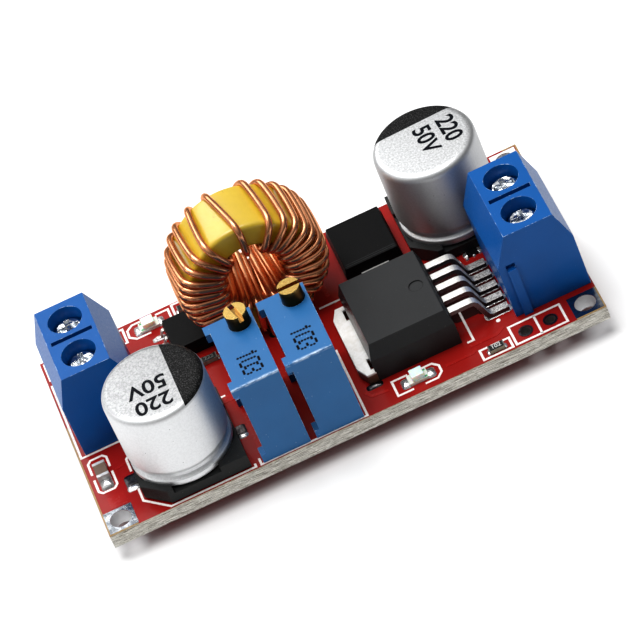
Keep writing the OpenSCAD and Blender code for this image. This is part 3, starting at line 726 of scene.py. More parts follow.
def block_plastic(name):
    """Glossy mid-blue plastic of the terminal blocks."""
    colour, speck = looks().blocks.colour, srgb(120, 160, 215)
    return moulded(name, colour, 0.34, speck, speck_share=0.3, grain=0.006, gloss=0.22).material


def block_edge(name):
    """Edges of the terminal blocks, paler in a few places as wear and painted highlight."""
    return wear_and_highlight_edge(name, looks().blocks.colour, srgb(186, 210, 240), share=0.1)


def trimmer_plastic(name):
    """Satin light-blue plastic of the trimmers, nearly white in patches along the upper front edge as wear
    and painted highlight.
    """
    colour, speck = looks().trimmers.colour, srgb(205, 226, 245)
    m = moulded(name, colour, 0.42, speck, speck_share=0.6, grain=0.01, gloss=0.35)
    low, high = span("left_trimmer_housing")
    _, y, z = m.parts(m.coords())
    front = m.limits(y, low[1] + 0.3, low[1] + 0.05)
    upper = m.limits(z, high[2] - 0.3, high[2] - 0.05)
    patch = m.limits(m.noise(m.coords((1, 2, 2)), 1.1, 4, 0.7), 0.42, 0.6, 0.0, 0.85)
    # Near-white patches on the upper front edge: wear and painted highlight.
    rub_and_highlight = m.times(m.times(front, upper), patch)
    m.colour(rub_and_highlight, m.wired("Base Color"), srgb(214, 232, 250))
    return m.material


def trimmer_edge(name):
    """Cut edges of the trimmers, nearly white in places as wear and painted highlight."""
    return wear_and_highlight_edge(name, looks().trimmers.colour, srgb(214, 232, 250), share=0.14)


def black_base(name):
    """Matt black moulding under the cans."""
    colour, speck = srgb(33, 34, 34), srgb(120, 120, 118)
    return moulded(name, colour, 0.5, speck, speck_share=0.5, grain=0.04, gloss=0.25).material


def dark_epoxy(name):
    """Moulded compound of the diode and the amplifier, nearly black."""
    return moulded(name, srgb(10, 10, 11), 0.45, srgb(90, 90, 86), speck_share=0.3, gloss=0.1).material


def chip_epoxy(name):
    """Dark grey chip compound with a fine sparkle, a moulded ring near one end and a polished left side."""
    m = moulded(name, srgb(42, 43, 44), 0.5, srgb(110, 108, 96), speck_share=0.4, gloss=0.25)
    low, high = span("regulator_body")
    x, y, _ = m.parts(m.coords(centre=(high[0] - 1.7, (low[1] + high[1]) / 2, 0)))
    off_ring = m.size(m.math("SUBTRACT", m.radius(x, y), 0.7))
    m.colour(m.limits(off_ring, 0.09, 0.04, 0.0, 0.6), m.wired("Base Color"), srgb(14, 14, 15))
    polished = m.limits(m.facing()[0], -0.7, -0.95)
    satin = m.math("SUBTRACT", m.wired("Roughness"), polished)
    m.set("Roughness", m.limits(satin, -0.5, 0.6, 0.16, 0.6))
    return m.material


def brass(name, centre, reach, top):
    """Turned brass: bright scratched faces, painted browner down in the slot as shade, and dull upright
    sides beyond a radius, painted dark brown as dark reflection.
    """
    m = Finish(name, Metallic=1.0)
    lines = m.noise(m.coords((1, 6, 1), turn=(0, 0, 0.4)), 3.0, 3, 0.6)
    cut = m.mix(m.limits(lines, *USUAL), srgb(244, 212, 136), srgb(206, 164, 84))
    x, y, z = m.parts(m.coords(centre=centre))
    # Painted shade down in the slot.
    cut = m.mix(m.limits(z, top - 0.25, top - 0.5, 0.0, 0.75), cut, srgb(120, 78, 34))
    # Upright sides beyond a radius painted dark brown as dark reflection.
    wall = m.limits(m.size(m.facing()[2]), 0.7, 0.4)
    skin = m.times(wall, m.limits(m.radius(x, y), reach - 0.12, reach - 0.06, 0.0, 0.9))
    m.colour(skin, cut, srgb(48, 30, 18))
    m.set("Roughness", m.plus(m.limits(lines, *USUAL, 0.14, 0.26), m.times(skin, 0.2)))
    m.bump(lines, 0.2, 0.02)
    return m.material


def can_metal(name, top_light_share, wall_light_share):
    """Drawn aluminium: satin walls and a sandy flat top, each dimmed by its own share as painted light and
    shade, and rare dark pits.
    """
    m = Finish(name, Metallic=1.0)
    at = m.coords()
    base = looks().cans.colour
    grain = m.noise(at, 5.0, 4, 0.75)
    level = m.limits(m.facing()[2], 0.85, 0.97)
    # Top and walls dimmed by separate shares: painted light and shade for each can.
    sand = m.mix(m.limits(grain, 0.4, 0.62), dimmed(base, top_light_share), dimmed(base, 0.6 * top_light_share))
    satin = m.mix(m.limits(grain, 0.4, 0.7), dimmed(base, wall_light_share), dimmed(base, 0.88 * wall_light_share))
    pits = m.limits(m.cells(at, 0.9), 0.05, 0.03)
    m.colour(pits, m.mix(level, satin, sand), srgb(120, 122, 124))
    m.set("Roughness", m.limits(m.plus(m.times(grain, 0.5), level), 0.15, 1.35, 0.55, 0.4))
    m.bump(grain, 0.3, 0.012)
    return m.material


def core_paint(name):
    """Yellow paint on the ring core, with shade drift, scuffs and small dark marks."""
    m = Finish(name, IOR=1.5, Coat_Weight=0.6, Coat_Roughness=0.16)
    at = m.coords()
    base = looks().coil.core_colour
    tone = m.mix(m.noise(at, 0.5, 3), dimmed(base, 1.06), dimmed(base, 0.82))
    m.colour(m.limits(m.noise(at, 1.1, 5, 0.7, 0.6), 0.66, 0.74, 0.0, 0.8), tone, srgb(120, 92, 22))
    m.rough(m.noise(at, 2.0, 3), 0.34, 0.48)
    m.bump(m.noise(at, 2.2, 4, 0.6), 0.4, 0.06)
    return m.material


def enamelled_copper(name):
    """Copper wire under clear enamel: warm metal with darker stretches and a hard gloss."""
    m = Finish(name, Metallic=0.88, Specular_IOR_Level=0.3, Specular_Tint=srgb(255, 220, 190))
    at = m.coords()
    base = looks().coil.wire_colour
    m.colour(m.limits(m.noise(at, 0.5), *USUAL), base, dimmed(base, 0.72))
    m.rough(m.noise(at, 0.7, 1), 0.2, 0.27)
    return m.material


def banded_chip(name, centre, axis, half, body, side, ends):
    """Fired chip: metal bands beyond half along an axis, body colour on top and another at the sides."""
    m = Finish(name, Specular_IOR_Level=0.25)
    place = m.size(m.parts(m.coords(centre=centre))[axis])
    band = m.limits(place, half - 0.02, half + 0.02)
    patch = m.noise(m.coords(), 4.0, 3)
    tone = m.mix(m.limits(m.facing()[2], 0.5, 0.8), side, body)
    tone = m.mix(m.times(patch, 0.3), tone, srgb(12, 12, 12))
    m.colour(band, tone, m.mix(patch, ends, dimmed(ends, 0.75)))
    m.set("Metallic", m.times(band, 0.8))
    m.rough(patch, 0.36, 0.5)
    m.bump(patch, 0.4, 0.05)
    return m.material


def floor_paper(name):
    """White paper sweep with the faintest tooth and a soft glow that fades out under the board as a painted
    contact shadow.
    """
    m = Finish(name, Roughness=0.8, Emission_Color=(1.0, 1.0, 1.0))
    at = m.coords()
    x, y, _ = m.parts(at)
    # Glow fades to nothing under the board: a painted contact shadow.
    over_x = m.math("SUBTRACT", m.size(x), BOARD_HIGH[0])
    over_y = m.math("SUBTRACT", m.size(y), BOARD_HIGH[1])
    m.set("Emission Strength", m.limits(m.math("MAXIMUM", over_x, over_y), -1.0, 0.7, 0.0, 0.3))
    base = looks().stage.floor_colour
    m.colour(m.noise(at, 0.5, 3), base, dimmed(base, 0.985))
    return m.material


PLAIN_MAKERS = (
    red_mask, raised_mask, white_ink, black_ink, plain_ink, grey_ink, shaded_grey_ink, green_ink, bare_laminate,
    painted_shade_film, lamp_white, lamp_resin, solder_tin, dark_reflection_tin, sheen_white_tin, shade_darkened_tin, lead_tin, strip_tin,
    tab_tin, zinc_plate, block_plastic, block_edge, trimmer_plastic, trimmer_edge, black_base, dark_epoxy,
    chip_epoxy, core_paint, enamelled_copper, floor_paper,
)
MAKERS = {maker.__name__: maker for maker in PLAIN_MAKERS}


# Sizes and colours


class BoardLooks(bpy.types.PropertyGroup):
    """Circuit board and its print."""

    mask_colour: bpy.props.FloatVectorProperty(
        name="Mask", description="Colour of the solder mask", default=srgb(158, 31, 27), subtype="COLOR"
    )
    print_width: bpy.props.FloatProperty(
        name="Print width", description="Width of a printed line", default=0.00023, unit="LENGTH"
    )


class BlockLooks(bpy.types.PropertyGroup):
    """Terminal blocks."""

    colour: bpy.props.FloatVectorProperty(
        name="Plastic", description="Colour of the blocks", default=srgb(3, 85, 156), subtype="COLOR"
    )
    edge: bpy.props.FloatProperty(
        name="Edge", description="Rounding of the blocks' edges", default=0.0001, unit="LENGTH"
    )


class TrimmerLooks(bpy.types.PropertyGroup):
    """Trimmers."""

    colour: bpy.props.FloatVectorProperty(
        name="Plastic", description="Colour of the trimmers", default=srgb(34, 102, 158), subtype="COLOR"
    )
    dot: bpy.props.FloatProperty(
        name="Ink dot", description="Diameter of one printed dot", default=0.00028, unit="LENGTH"
    )


class CanLooks(bpy.types.PropertyGroup):
    """Can capacitors."""

    colour: bpy.props.FloatVectorProperty(
        name="Metal", description="Colour of the cans", default=srgb(226, 227, 228), subtype="COLOR"
    )
    figure_height: bpy.props.FloatProperty(
        name="Figures", description="Height of the printed figures", default=0.0017, unit="LENGTH"
    )


class CoilLooks(bpy.types.PropertyGroup):
    """Ring core and its winding."""

    core_colour: bpy.props.FloatVectorProperty(
        name="Paint", description="Colour of the ring core", default=srgb(212, 180, 52), subtype="COLOR"
    )
    wire_colour: bpy.props.FloatVectorProperty(
        name="Wire", description="Colour of the winding", default=srgb(232, 162, 120), subtype="COLOR"
    )
    wire: bpy.props.FloatProperty(
        name="Wire diameter", description="Diameter of the winding wire", default=0.0007, unit="LENGTH"
    )
    turns: bpy.props.IntProperty(name="Turns", description="Turns through the ring", default=29)


class StageLooks(bpy.types.PropertyGroup):
    """Floor and light."""

    floor_colour: bpy.props.FloatVectorProperty(
        name="Floor", description="Colour of the floor", default=(0.66, 0.66, 0.66), subtype="COLOR"
    )
    key: bpy.props.FloatProperty(name="Key light", description="Power of the key light", default=0.8)
    sky: bpy.props.FloatProperty(name="Sky", description="Strength of the light all round", default=1.0)


class DriverLooks(bpy.types.PropertyGroup):
    """All groups of sizes and colours."""

    board: bpy.props.PointerProperty(type=BoardLooks)
    blocks: bpy.props.PointerProperty(type=BlockLooks)
    trimmers: bpy.props.PointerProperty(type=TrimmerLooks)
    cans: bpy.props.PointerProperty(type=CanLooks)
    coil: bpy.props.PointerProperty(type=CoilLooks)
    stage: bpy.props.PointerProperty(type=StageLooks)


# Board: holes and their pads, raised copper, bare edges and print

CORNER_X, CORNER_Y = 23.9, 11.4
CORNER_HOLE = 1.06
# Place across the board, half width and finish: the same tin, painted dark at the front as dark reflection
# and near white at the rear as sheen
CORNER_PADS = {"front": (-CORNER_Y, 1.45, "dark_reflection_tin"), "rear": (CORNER_Y, 1.33, "sheen_white_tin")}
PAD_RISE = 0.04
HEADER_X, HEADER_Y = (17.76, 20.3), -11.43
HEADER_HOLE = 0.51
# Radius above and below the board
HEADER_RINGS = (0.72, 0.8)
RING_RISE = 0.05

BARE_WIDTH = 0.16
BARE_RISE = 0.02
BARE_INSET = 0.09
RIM_X, RIM_Y = BOARD_HIGH[:2] - BARE_INSET
BARE_EDGES = (
    [(-RIM_X, 3.0), (-RIM_X, -RIM_Y), (-22.5, -RIM_Y)],
    [(RIM_X, -9.9), (RIM_X, -RIM_Y), (22.5, -RIM_Y)],
    [(RIM_X, 9.0), (RIM_X, RIM_Y), (24.0, RIM_Y)],
)

COPPER_RISE = 0.03
# Width and path of each track
COPPER_PATHS = (
    (0.3, [(-22.6, -5.0), (-20.6, -4.6)]),
    (0.35, [(1.7, -9.9), (2.2, -10.7), (3.8, -10.9)]),
    (1.6, [(-24.4, -9.0), (-22.6, -9.0)]),
    (0.4, [(2.6, 4.3), (2.6, 9.6)]),
    (0.4, [(12.4, -10.2), (15.2, -10.2), (16.1, -9.6)]),
    (0.35, [(9.6, -11.2), (12.4, -11.2), (12.9, -10.8)]),
    (0.5, [(-9.3, -4.0), (-9.3, -10.8)]),
    (0.9, [(-12.4, -2.7), (-9.4, -2.7)]),
)

PRINT_RISE = 0.035
PRINT_LINES = (
    # Left block, chip capacitor, front can, trimmers
    [(-17.0, -1.72), (-25.2, -1.72), (-25.2, 9.3), (-24.0, 9.3)],
    [(-24.85, -4.5), (-24.85, -2.9), (-24.5, -2.5), (-23.3, -2.5), (-22.95, -2.9), (-22.95, -4.3)],
    [(-24.85, -5.2), (-24.85, -6.9), (-24.5, -7.3), (-23.3, -7.3), (-22.95, -6.9), (-22.95, -5.0)],
    [(-21.3, -6.2), (-21.3, -4.4), (-19.2, -2.15), (-10.3, -2.15)],
    [(-21.3, -8.6), (-21.3, -10.5), (-19.1, -12.75), (-10.4, -12.75), (-10.4, -12.3)],
    [(-9.85, -11.9), (-9.85, -12.78), (1.02, -12.78), (1.02, -2.9)],
    # Inductor, diode, regulator, front lamp
    [(1.3, 3.32), (3.9, 3.32)],
    [(6.3, 2.2), (9.5, 2.2)],
    [(13.05, -5.3), (13.05, -9.6), (12.4, -9.6)],
    [(6.0, -12.2), (4.4, -12.2), (4.4, -10.1), (6.0, -10.1)],
    [(7.4, -10.1), (8.5, -10.1), (9.05, -10.7), (9.05, -11.6), (8.5, -12.2), (7.2, -12.2)],
    # Rear lamp, rear resistor, header
    [(-14.9, 12.5), (-15.8, 12.5), (-16.4, 12.0), (-16.45, 11.0), (-15.8, 10.4), (-14.3, 10.4)],
    [(-13.3, 12.45), (-11.95, 12.45), (-11.95, 10.5)],
    [(-9.3, 12.75), (-11.5, 12.75), (-11.5, 10.3), (-9.3, 10.3)],
    [(-17.6, 12.55), (-16.8, 12.55), (-16.8, 10.5), (-17.6, 10.5)],
    [(19.05, -10.05), (19.05, -12.63)],
)
PRINT_BOXES = (
    [(16.45, -10.05), (21.67, -10.05), (21.67, -12.63), (16.45, -12.63)],
    [(13.06, -11.3), (16.05, -11.3), (16.05, -12.68), (13.06, -12.68)],
)
PRINT_DOTS = [(15.95, -8.6), (-9.2, -2.75)]
PRINT_DOT_RADIUS = 0.22


def pad_levels(rise):
    """Lower and upper height of a pad on the board's top, and of one on its underside."""
    return (BOARD_TOP, BOARD_TOP + rise), (BOARD_UNDER - rise, BOARD_UNDER)


class DRIVER_OT_board(bpy.types.Operator):
    """Finish the board and add its pads, raised copper and white print"""

    bl_idname = "driver.board"
    bl_label = "Circuit board"

    def execute(self, context):
        dress("circuit_board", finish("red_mask"))
        for row, (y, half, tin) in CORNER_PADS.items():
            pads = [
                square_pad((x, y), half, CORNER_HOLE, *levels)
                for x in (-CORNER_X, CORNER_X)
                for levels in pad_levels(PAD_RISE)
            ]
            piece(f"{row}_corner_pads", pads, finish(tin))
        # Header rings in tin painted near black as dark reflection.
        rings = [
            washer((x, HEADER_Y), outer, HEADER_HOLE, *levels)
            for x in HEADER_X
            for outer, levels in zip(HEADER_RINGS, pad_levels(RING_RISE))
        ]
        piece("header_pads", rings, finish("shade_darkened_tin"))

        low, high = BOARD_TOP - BARE_RISE, BOARD_TOP + BARE_RISE
        bare = [stroke(path, BARE_WIDTH, low, high) for path in BARE_EDGES]
        piece("bare_laminate", bare, finish("bare_laminate"), crease=0)
        copper = [stroke(path, width, BOARD_TOP, BOARD_TOP + COPPER_RISE) for width, path in COPPER_PATHS]
        piece("raised_copper", copper, finish("raised_mask"))

        width = looks().board.print_width / MM
        levels = BOARD_TOP, BOARD_TOP + PRINT_RISE
        ink = [stroke(path, width, *levels) for path in PRINT_LINES]
        ink += [stroke(path, width, *levels, closed=True) for path in PRINT_BOXES]
        ink.append(dots(PRINT_DOTS, PRINT_DOT_RADIUS, *levels, sides=12))
        piece("white_print", ink, finish("white_ink"), crease=0)
        return {"FINISHED"}


# Terminal blocks


class DRIVER_OT_blocks(bpy.types.Operator):
    """Finish both terminal blocks with their screws, cages and contacts"""

    bl_idname = "driver.blocks"
    bl_label = "Terminal blocks"

    def execute(self, context):
        edge = looks().blocks.edge / MM
        for side in SIDES:
            dress(f"{side}_block_housing", finish("block_plastic"), edge, edge_wear_and_highlight=finish("block_edge"))
            dress(f"{side}_block_contacts", finish("lead_tin"))
            for row in ROWS:
                dress(f"{side}_{row}_clamp_screw", finish("zinc_plate"), edge=0.06)
                dress(f"{side}_{row}_clamp_cage", finish("zinc_plate"), edge=0.08)
        return {"FINISHED"}


# Trimmers, with figures of ink dots

DIGIT_DOTS = {
    "1": ["..#..", ".##..", "..#..", "..#..", "..#..", "..#..", "..#.."],
    "0": [".###.", "#...#", "#...#", "#...#", "#...#", "#...#", ".###."],
    "3": [".###.", "#...#", "....#", "..##.", "....#", "#...#", ".###."],
}
DOT_PITCH = (0.2, 0.3)
DIGIT_PITCH = 1.02
DIGIT_SLANT = -0.05
FIGURES_FROM_CORNER = (1.85, 4.05)
DOT_SINK = 0.005


def dot_figures(text, start):
    """Centres of ink dots: a digit's column and row numbers scaled along the text and up from it."""
    centres = []
    for i, digit in enumerate(text):
        grid = np.array([list(row) for row in DIGIT_DOTS[digit]])
        rows, cols = np.nonzero(grid == "#")
        along = i * DIGIT_PITCH + cols * DOT_PITCH[0]
        up = (len(grid) - 1 - rows) * DOT_PITCH[1]
        centres.append(np.stack([start[0] + up, start[1] - along + DIGIT_SLANT * up], -1))
    return np.concatenate(centres)


class DRIVER_OT_trimmers(bpy.types.Operator):
    """Finish both trimmers with their brass screws and print their value"""

    bl_idname = "driver.trimmers"
    bl_label = "Trimmers"

    def execute(self, context):
        radius = looks().trimmers.dot / MM / 2
        for side in SIDES:
            housing, screw = f"{side}_trimmer_housing", f"{side}_trimmer_screw"
            dress(housing, finish("trimmer_plastic"), edge=0.15, edge_wear_and_highlight=finish("trimmer_edge"))
            half = (span(screw)[1] - span(screw)[0]) / 2
            dress(screw, brass(screw + "_finish", middle(screw), half[0], half[2]), edge=0.05)
            dress(f"{side}_trimmer_pins", finish("lead_tin"))
            low, high = span(housing)
            figures = dot_figures("103", low[:2] + FIGURES_FROM_CORNER)
            ink = [dots(figures, radius, high[2] - DOT_SINK, high[2] + INK_FILM)]
            piece(f"{side}_trimmer_figures", ink, finish("plain_ink"), crease=0)
        return {"FINISHED"}


# Can capacitors

CAN_RADIUS = 5.09
CAN_ROLL = 5.04
CAN_GROOVE = 4.66
CAN_FOOT = 4.75
ROLL_HEIGHTS = (0.3, 0.92)
GROOVE_HEIGHTS = (1.12, 1.6)
WALL_FROM = 2.1
CAN_SHOULDER = 0.85
CAN_BENDS = [0.2, 0.2, 0.1, 0.12, 0.16, 0.25, CAN_SHOULDER]
MARK_SINK = 0.05
FIGURES_DOWN = 1.55
# Added height, brightness of top and wall as shares, painted light and shade that differ between the cans,
# and how far the figures keep from the mark
CAN_LIFT = {"front": 0.0, "rear": 0.3}
CAN_LIGHT_SHARES = {"front": (0.55, 1.04), "rear": (0.94, 0.74)}
FIGURES_SHIFT = {"front": 0.55, "rear": 0.05}
# Direction of the mark in radians, and its chord and rim from the middle
CAN_MARKS = {"front": (0.0, 2.0, 4.98), "rear": (math.pi / 2 + 0.042, 2.65, 5.06)}


def can_profile(foot, top):
    """Half section of a drawn can: foot roll, groove, straight wall, rounded shoulder, flat top."""
    roll = [(CAN_ROLL, foot + height) for height in ROLL_HEIGHTS]
    groove = [(CAN_GROOVE, foot + height) for height in GROOVE_HEIGHTS]
    wall = [(CAN_RADIUS, foot + WALL_FROM), (CAN_RADIUS, top)]
    corners = [(0, foot), (CAN_FOOT, foot), *roll, *groove, *wall, (0, top)]
    return softened(corners, CAN_BENDS, steps=10)


def can_height(radius, top):
    """Height of the can's top at a radius: flat, then down the shoulder's curve to the wall."""
    share = np.sqrt(np.clip((CAN_RADIUS - radius) / CAN_SHOULDER, 0, 1))
    return top - CAN_SHOULDER * (1 - share) ** 2


def can_mark(centre, top, outwards, beside, chord, rim, rows=49, cols=25):
    """Ink on the top beyond a chord: v runs along the chord, u from it to the rim, close at the rim."""
    half = math.sqrt(rim**2 - chord**2)
    v = np.sin(np.linspace(-0.5, 0.5, rows) * np.pi)[:, None] * half * np.ones((1, cols))
    edge = np.sqrt(np.maximum(rim**2 - v**2, chord**2))
    u = chord + (edge - chord) * (1 - np.linspace(1, 0, cols)[None] ** 2)
    plan = centre[:2] + u[..., None] * outwards[:2] + v[..., None] * beside[:2]
    z = can_height(np.hypot(u, v), top)[..., None]
    return slab(np.concatenate([plan, z + INK_FILM], -1), np.concatenate([plan, z - MARK_SINK], -1))


class DRIVER_OT_cans(bpy.types.Operator):
    """Build the drawn cans with their prints, and finish their bases and leads"""

    bl_idname = "driver.cans"
    bl_label = "Can capacitors"

    def execute(self, context):
        height = looks().cans.figure_height / MM
        for row, (turn, chord, rim) in CAN_MARKS.items():
            node = f"{row}_capacitor_can"
            low, high = span(node)
            centre, top = middle(node), high[2] + CAN_LIFT[row]
            skin = revolved(can_profile(low[2], top), (*centre[:2], 0))
            metal = can_metal(node + "_finish", *CAN_LIGHT_SHARES[row])
            piece(node + "_drawn", [skin], metal, stands_for=[node], crease=50)
            dress(f"{row}_capacitor_base", finish("black_base"), edge=0.08)
            # Can leads in tin painted dark as shade.
            dress(f"{row}_capacitor_leads", finish("shade_darkened_tin"))

            outwards = np.array([math.cos(turn), math.sin(turn), 0])
            beside = np.array([-math.sin(turn), math.cos(turn), 0])
            mark = can_mark(centre, top, outwards, beside, chord, rim)
            piece(f"{row}_can_mark", [mark], finish("black_ink"), crease=30)
            place = centre - FIGURES_SHIFT[row] * outwards - FIGURES_DOWN * beside
            place[2] = top + INK_GAP
            axes = (place, -outwards, -beside)
            lettering(f"{row}_can_figures", "220\n50V", height, axes, finish("plain_ink"))
        return {"FINISHED"}


# Inductor: angles are degrees round the ring from its top, lengths are millimetres

CORE_GROWTH = 0.2
CORE_BORE = 3.85
CORE_EDGE = 0.5
WIRE_GAP = 0.1
OUTER_GAP = 0.06
WIND_SEED = 7
WIND_SCATTER = 0.8
LEFT_ROW = (-175, -38)
LOOSE_TURNS = [-26.0, 3.5, 30.0, 42.0]
RIGHT_ROW = (51, 175)
# Bore passage that a turn leads to, and where that turn lies outside
LEAD_TO = [-175, -164, -137, -104, -82, -60, -38, 3.5, 30, 42, 57, 90, 112, 134, 175]
LIES_AT = [-176, -170, -112, -90, -76, -62, -39.5, 3.4, 30, 43.5, 59.5, 84.8, 104.7, 122, 168]
# Place of a turn outside, and the slant of its back end
SLANT_AT = [-152, -90, -68, -52, -39, -27, 3.4, 30, 43, 54, 152]
SLANT = [-8, -10, -10, -6, -6.5, 0, -14, -8, -8, -4, -4]
# Place of a bore passage, and how far it hangs into the bore
SAG_AT = [-120, -60, -38, -26, 42, 60]
SAG = [0, 0.3, 0.45, 0.22, 0.22, 0]
# Every second passage between these angles lies on its neighbours, and the back ends heap up lower down
LAYERED = (55, 165)
LAYER = 0.34
HEAP_FROM, HEAP_RUN = 85, 45
HEAP_SAG = 1.05
HEAP_OUT = 0.25
FAR_OUT, FAR_LAYER = 0.12, 0.2
BORE_OUT, FRONT_OUT = 0.12, 0.15
SIDE_BOW = 0.35
TOP_LIFT = 0.18
FOOT_DRAW = 0.15
CORNER_DROP, TOP_DROP, BACK_DROP = 0.12, 0.14, 0.08
TAIL_ANGLE = math.radians(170)
TAIL_END = 0.02
# Reach of the bend at each corner of a turn, and at the last two corners
BENDS = [1.35, 1.2, 1.6, 2.0, 1.6]
TAIL_BENDS = [1.35, 0.95]


def stand_off(angle, outer):
    """Outside radius at an angle: most at the sides, some at the top, drawn in at the board."""
    a = np.radians(angle)
    rise, fall = np.maximum(np.cos(a), 0), np.maximum(-np.cos(a), 0)
    return outer + SIDE_BOW * np.sin(a) ** 2 + TOP_LIFT * rise**2 - FOOT_DRAW * fall**2


def corner_drop(angle):
    """Fall of a turn from its middle to its corners, so that it bows like stiff wire."""
    return CORNER_DROP + TOP_DROP * np.maximum(np.cos(np.radians(angle)), 0)


def winding_path(centre, turns, inner, outer, face):
    """Path of the winding wire and the direction round the ring at each of its points.

    Angles run from the top. The bore holds close rows on both sides and four loose turns at the top.
    Outside, each turn lies at the angle of the bore passage it leads to, held back in the lower half,
    and its back end is shifted by a slant. A turn has five corners: bore front, bore back, outside
    back, outside middle and outside front. The outside radius grows with the squared sine of the
    angle, because the turns stand off at the sides, and every second bore passage below the top lies
    on its neighbours. Corners are softened, and both tails drop straight to the pins' height.
    """
    close = turns - len(LOOSE_TURNS)
    left, right = np.linspace(*LEFT_ROW, (close + 1) // 2), np.linspace(*RIGHT_ROW, close // 2)
    bore = np.concatenate([left, LOOSE_TURNS, right])
    scatter = np.random.default_rng(WIND_SEED).uniform(-WIND_SCATTER, WIND_SCATTER, turns - 1)
    front = np.interp(bore[1:], LEAD_TO, LIES_AT) + scatter
    back = front + np.interp(front, SLANT_AT, SLANT)
    mid = (front + back) / 2
    odd = np.arange(turns) % 2
    low = (np.abs(bore) > LAYERED[0]) & (np.abs(bore) < LAYERED[1])
    heap = np.clip((np.abs(bore) - HEAP_FROM) / HEAP_RUN, 0, 1)
    near_sag = np.interp(bore, SAG_AT, SAG) + LAYER * odd * low
    far_sag = near_sag + HEAP_SAG * heap
    far = face + np.where(low, FAR_OUT + FAR_LAYER * odd, 0.0) + HEAP_OUT * heap

    zero = np.zeros(turns - 1)
    angle = np.stack([bore[:-1], bore[:-1], back, mid, front], 1)
    radius = np.stack([
        inner - near_sag[:-1],
        inner - far_sag[:-1],
        stand_off(back, outer) - corner_drop(back) - BACK_DROP,
        stand_off(mid, outer),
        stand_off(front, outer) - corner_drop(front),
    ], 1)
    along = [zero - face - BORE_OUT, far[:-1], zero + face, zero, zero - face - FRONT_OUT]
    a = np.radians(np.append(angle.ravel(), [bore[-1]] * 2))
    radius = np.append(radius.ravel(), [inner] * 2)
    along = np.append(np.stack(along, 1).ravel(), [-face, face])
    points = centre + np.stack([radius * np.sin(a), along, radius * np.cos(a)], -1)
    tail_out = inner * math.sin(TAIL_ANGLE)
    first = [centre[0] - tail_out, centre[1] - face, TAIL_END]
    last = [centre[0] + tail_out, centre[1] + face, TAIL_END]
    points = np.concatenate([[first], points, [last]])
    path = softened(points, np.append(np.tile(BENDS, turns - 1), TAIL_BENDS), steps=9)
    local = path - centre
    around = np.arctan2(local[:, 0], local[:, 2])
    return path, np.stack([np.cos(around), np.zeros(len(path)), -np.sin(around)], -1)


class DRIVER_OT_inductor(bpy.types.Operator):
    """Build the painted ring core and wind the copper wire on it"""

    bl_idname = "driver.inductor"
    bl_label = "Inductor"

    def execute(self, context):
        coil = looks().coil
        centre = middle("inductor_core")
        low, high = span("inductor_core")
        outer, half = (high[0] - low[0]) / 2 + CORE_GROWTH, (high[1] - low[1]) / 2
        corners = [
            (outer, 0), (outer, half), (CORE_BORE, half), (CORE_BORE, -half), (outer, -half), (outer, 0),
        ]
        core = revolved(softened(corners, CORE_EDGE), centre, sides=128, axis="y")
        piece("inductor_core_painted", [core], finish("core_paint"),
              stands_for=["inductor_core"], crease=40)
        radius = coil.wire / MM / 2
        inner, face = CORE_BORE - WIRE_GAP - radius, half + WIRE_GAP + radius
        path, side = winding_path(centre, coil.turns, inner, outer + OUTER_GAP + radius, face)
        wire = tube(path, side, radius, sides=14)
        piece("inductor_wire", [wire], finish("enamelled_copper"),
              stands_for=["inductor_winding"], crease=60)
        return {"FINISHED"}


# Chips

CHIP_FINISHES = {
    "regulator": ("chip_epoxy", "strip_tin"),
    "diode": ("dark_epoxy", "lead_tin"),
    "amplifier": ("dark_epoxy", "lead_tin"),
}
BANDS_FROM_FRONT = (0.5, 0.75)
BAND_INSET = 0.35
BAND_WIDTH = 0.05
BAND_RISE = 0.006


class DRIVER_OT_chips(bpy.types.Operator):
    """Finish the regulator, the diode and the amplifier with their leads"""

    bl_idname = "driver.chips"
    bl_label = "Regulator, diode and amplifier"

    def execute(self, context):
        for node, (skin, tin) in CHIP_FINISHES.items():
            dress(f"{node}_body", finish(skin), edge=0.07)
            dress(f"{node}_leads", finish(tin), edge=0.04)
        dress("regulator_tab", finish("tab_tin"), edge=0.06)
        low, high = span("diode_body")
        bands = []
        for y in low[1] + BANDS_FROM_FRONT:
            line = [(low[0] + BAND_INSET, y), (high[0] - BAND_INSET, y)]
            bands.append(stroke(line, BAND_WIDTH, high[2] - SEAT, high[2] + BAND_RISE))
        piece("diode_bands", bands, finish("chip_epoxy"), crease=0)
        return {"FINISHED"}


# Lamps and chip parts

CHIP_BROWN = srgb(112, 93, 80)
GLAZE = srgb(20, 20, 22)
CERAMIC = srgb(160, 150, 130)
# Colour of top, sides and ends, and half the length between the ends
BANDED = {
    "chip_capacitor": (CHIP_BROWN, CHIP_BROWN, srgb(206, 206, 206), 0.68),
    **{f"{name}_resistor": (GLAZE, CERAMIC, srgb(120, 118, 114), 0.7) for name in RESISTORS},
}
# The middle resistor's figures are painted darker as shade.
FIGURED = {"front": ("102", "grey_ink"), "middle": ("222", "shaded_grey_ink")}
CHIP_FIGURE = 0.46
MARK_FROM, MARK_TO = 0.42, 0.12
MARK_INSET = 0.18
MARK_HALF = 0.12
MARK_CORNER = 0.05


def lamp_marks(row, side):
    """Two small plates at one end of a lamp, on the side given as one or minus one."""
    low, high = span(f"{row}_lamp_base")
    end = high[0] if side > 0 else low[0]
    left, right = sorted((end - side * MARK_FROM, end - side * MARK_TO))
    return [
        plate((left, y - MARK_HALF), (right, y + MARK_HALF), high[2] - SEAT, high[2] + INK_FILM, MARK_CORNER)
        for y in (low[1] + MARK_INSET, high[1] - MARK_INSET)
    ]


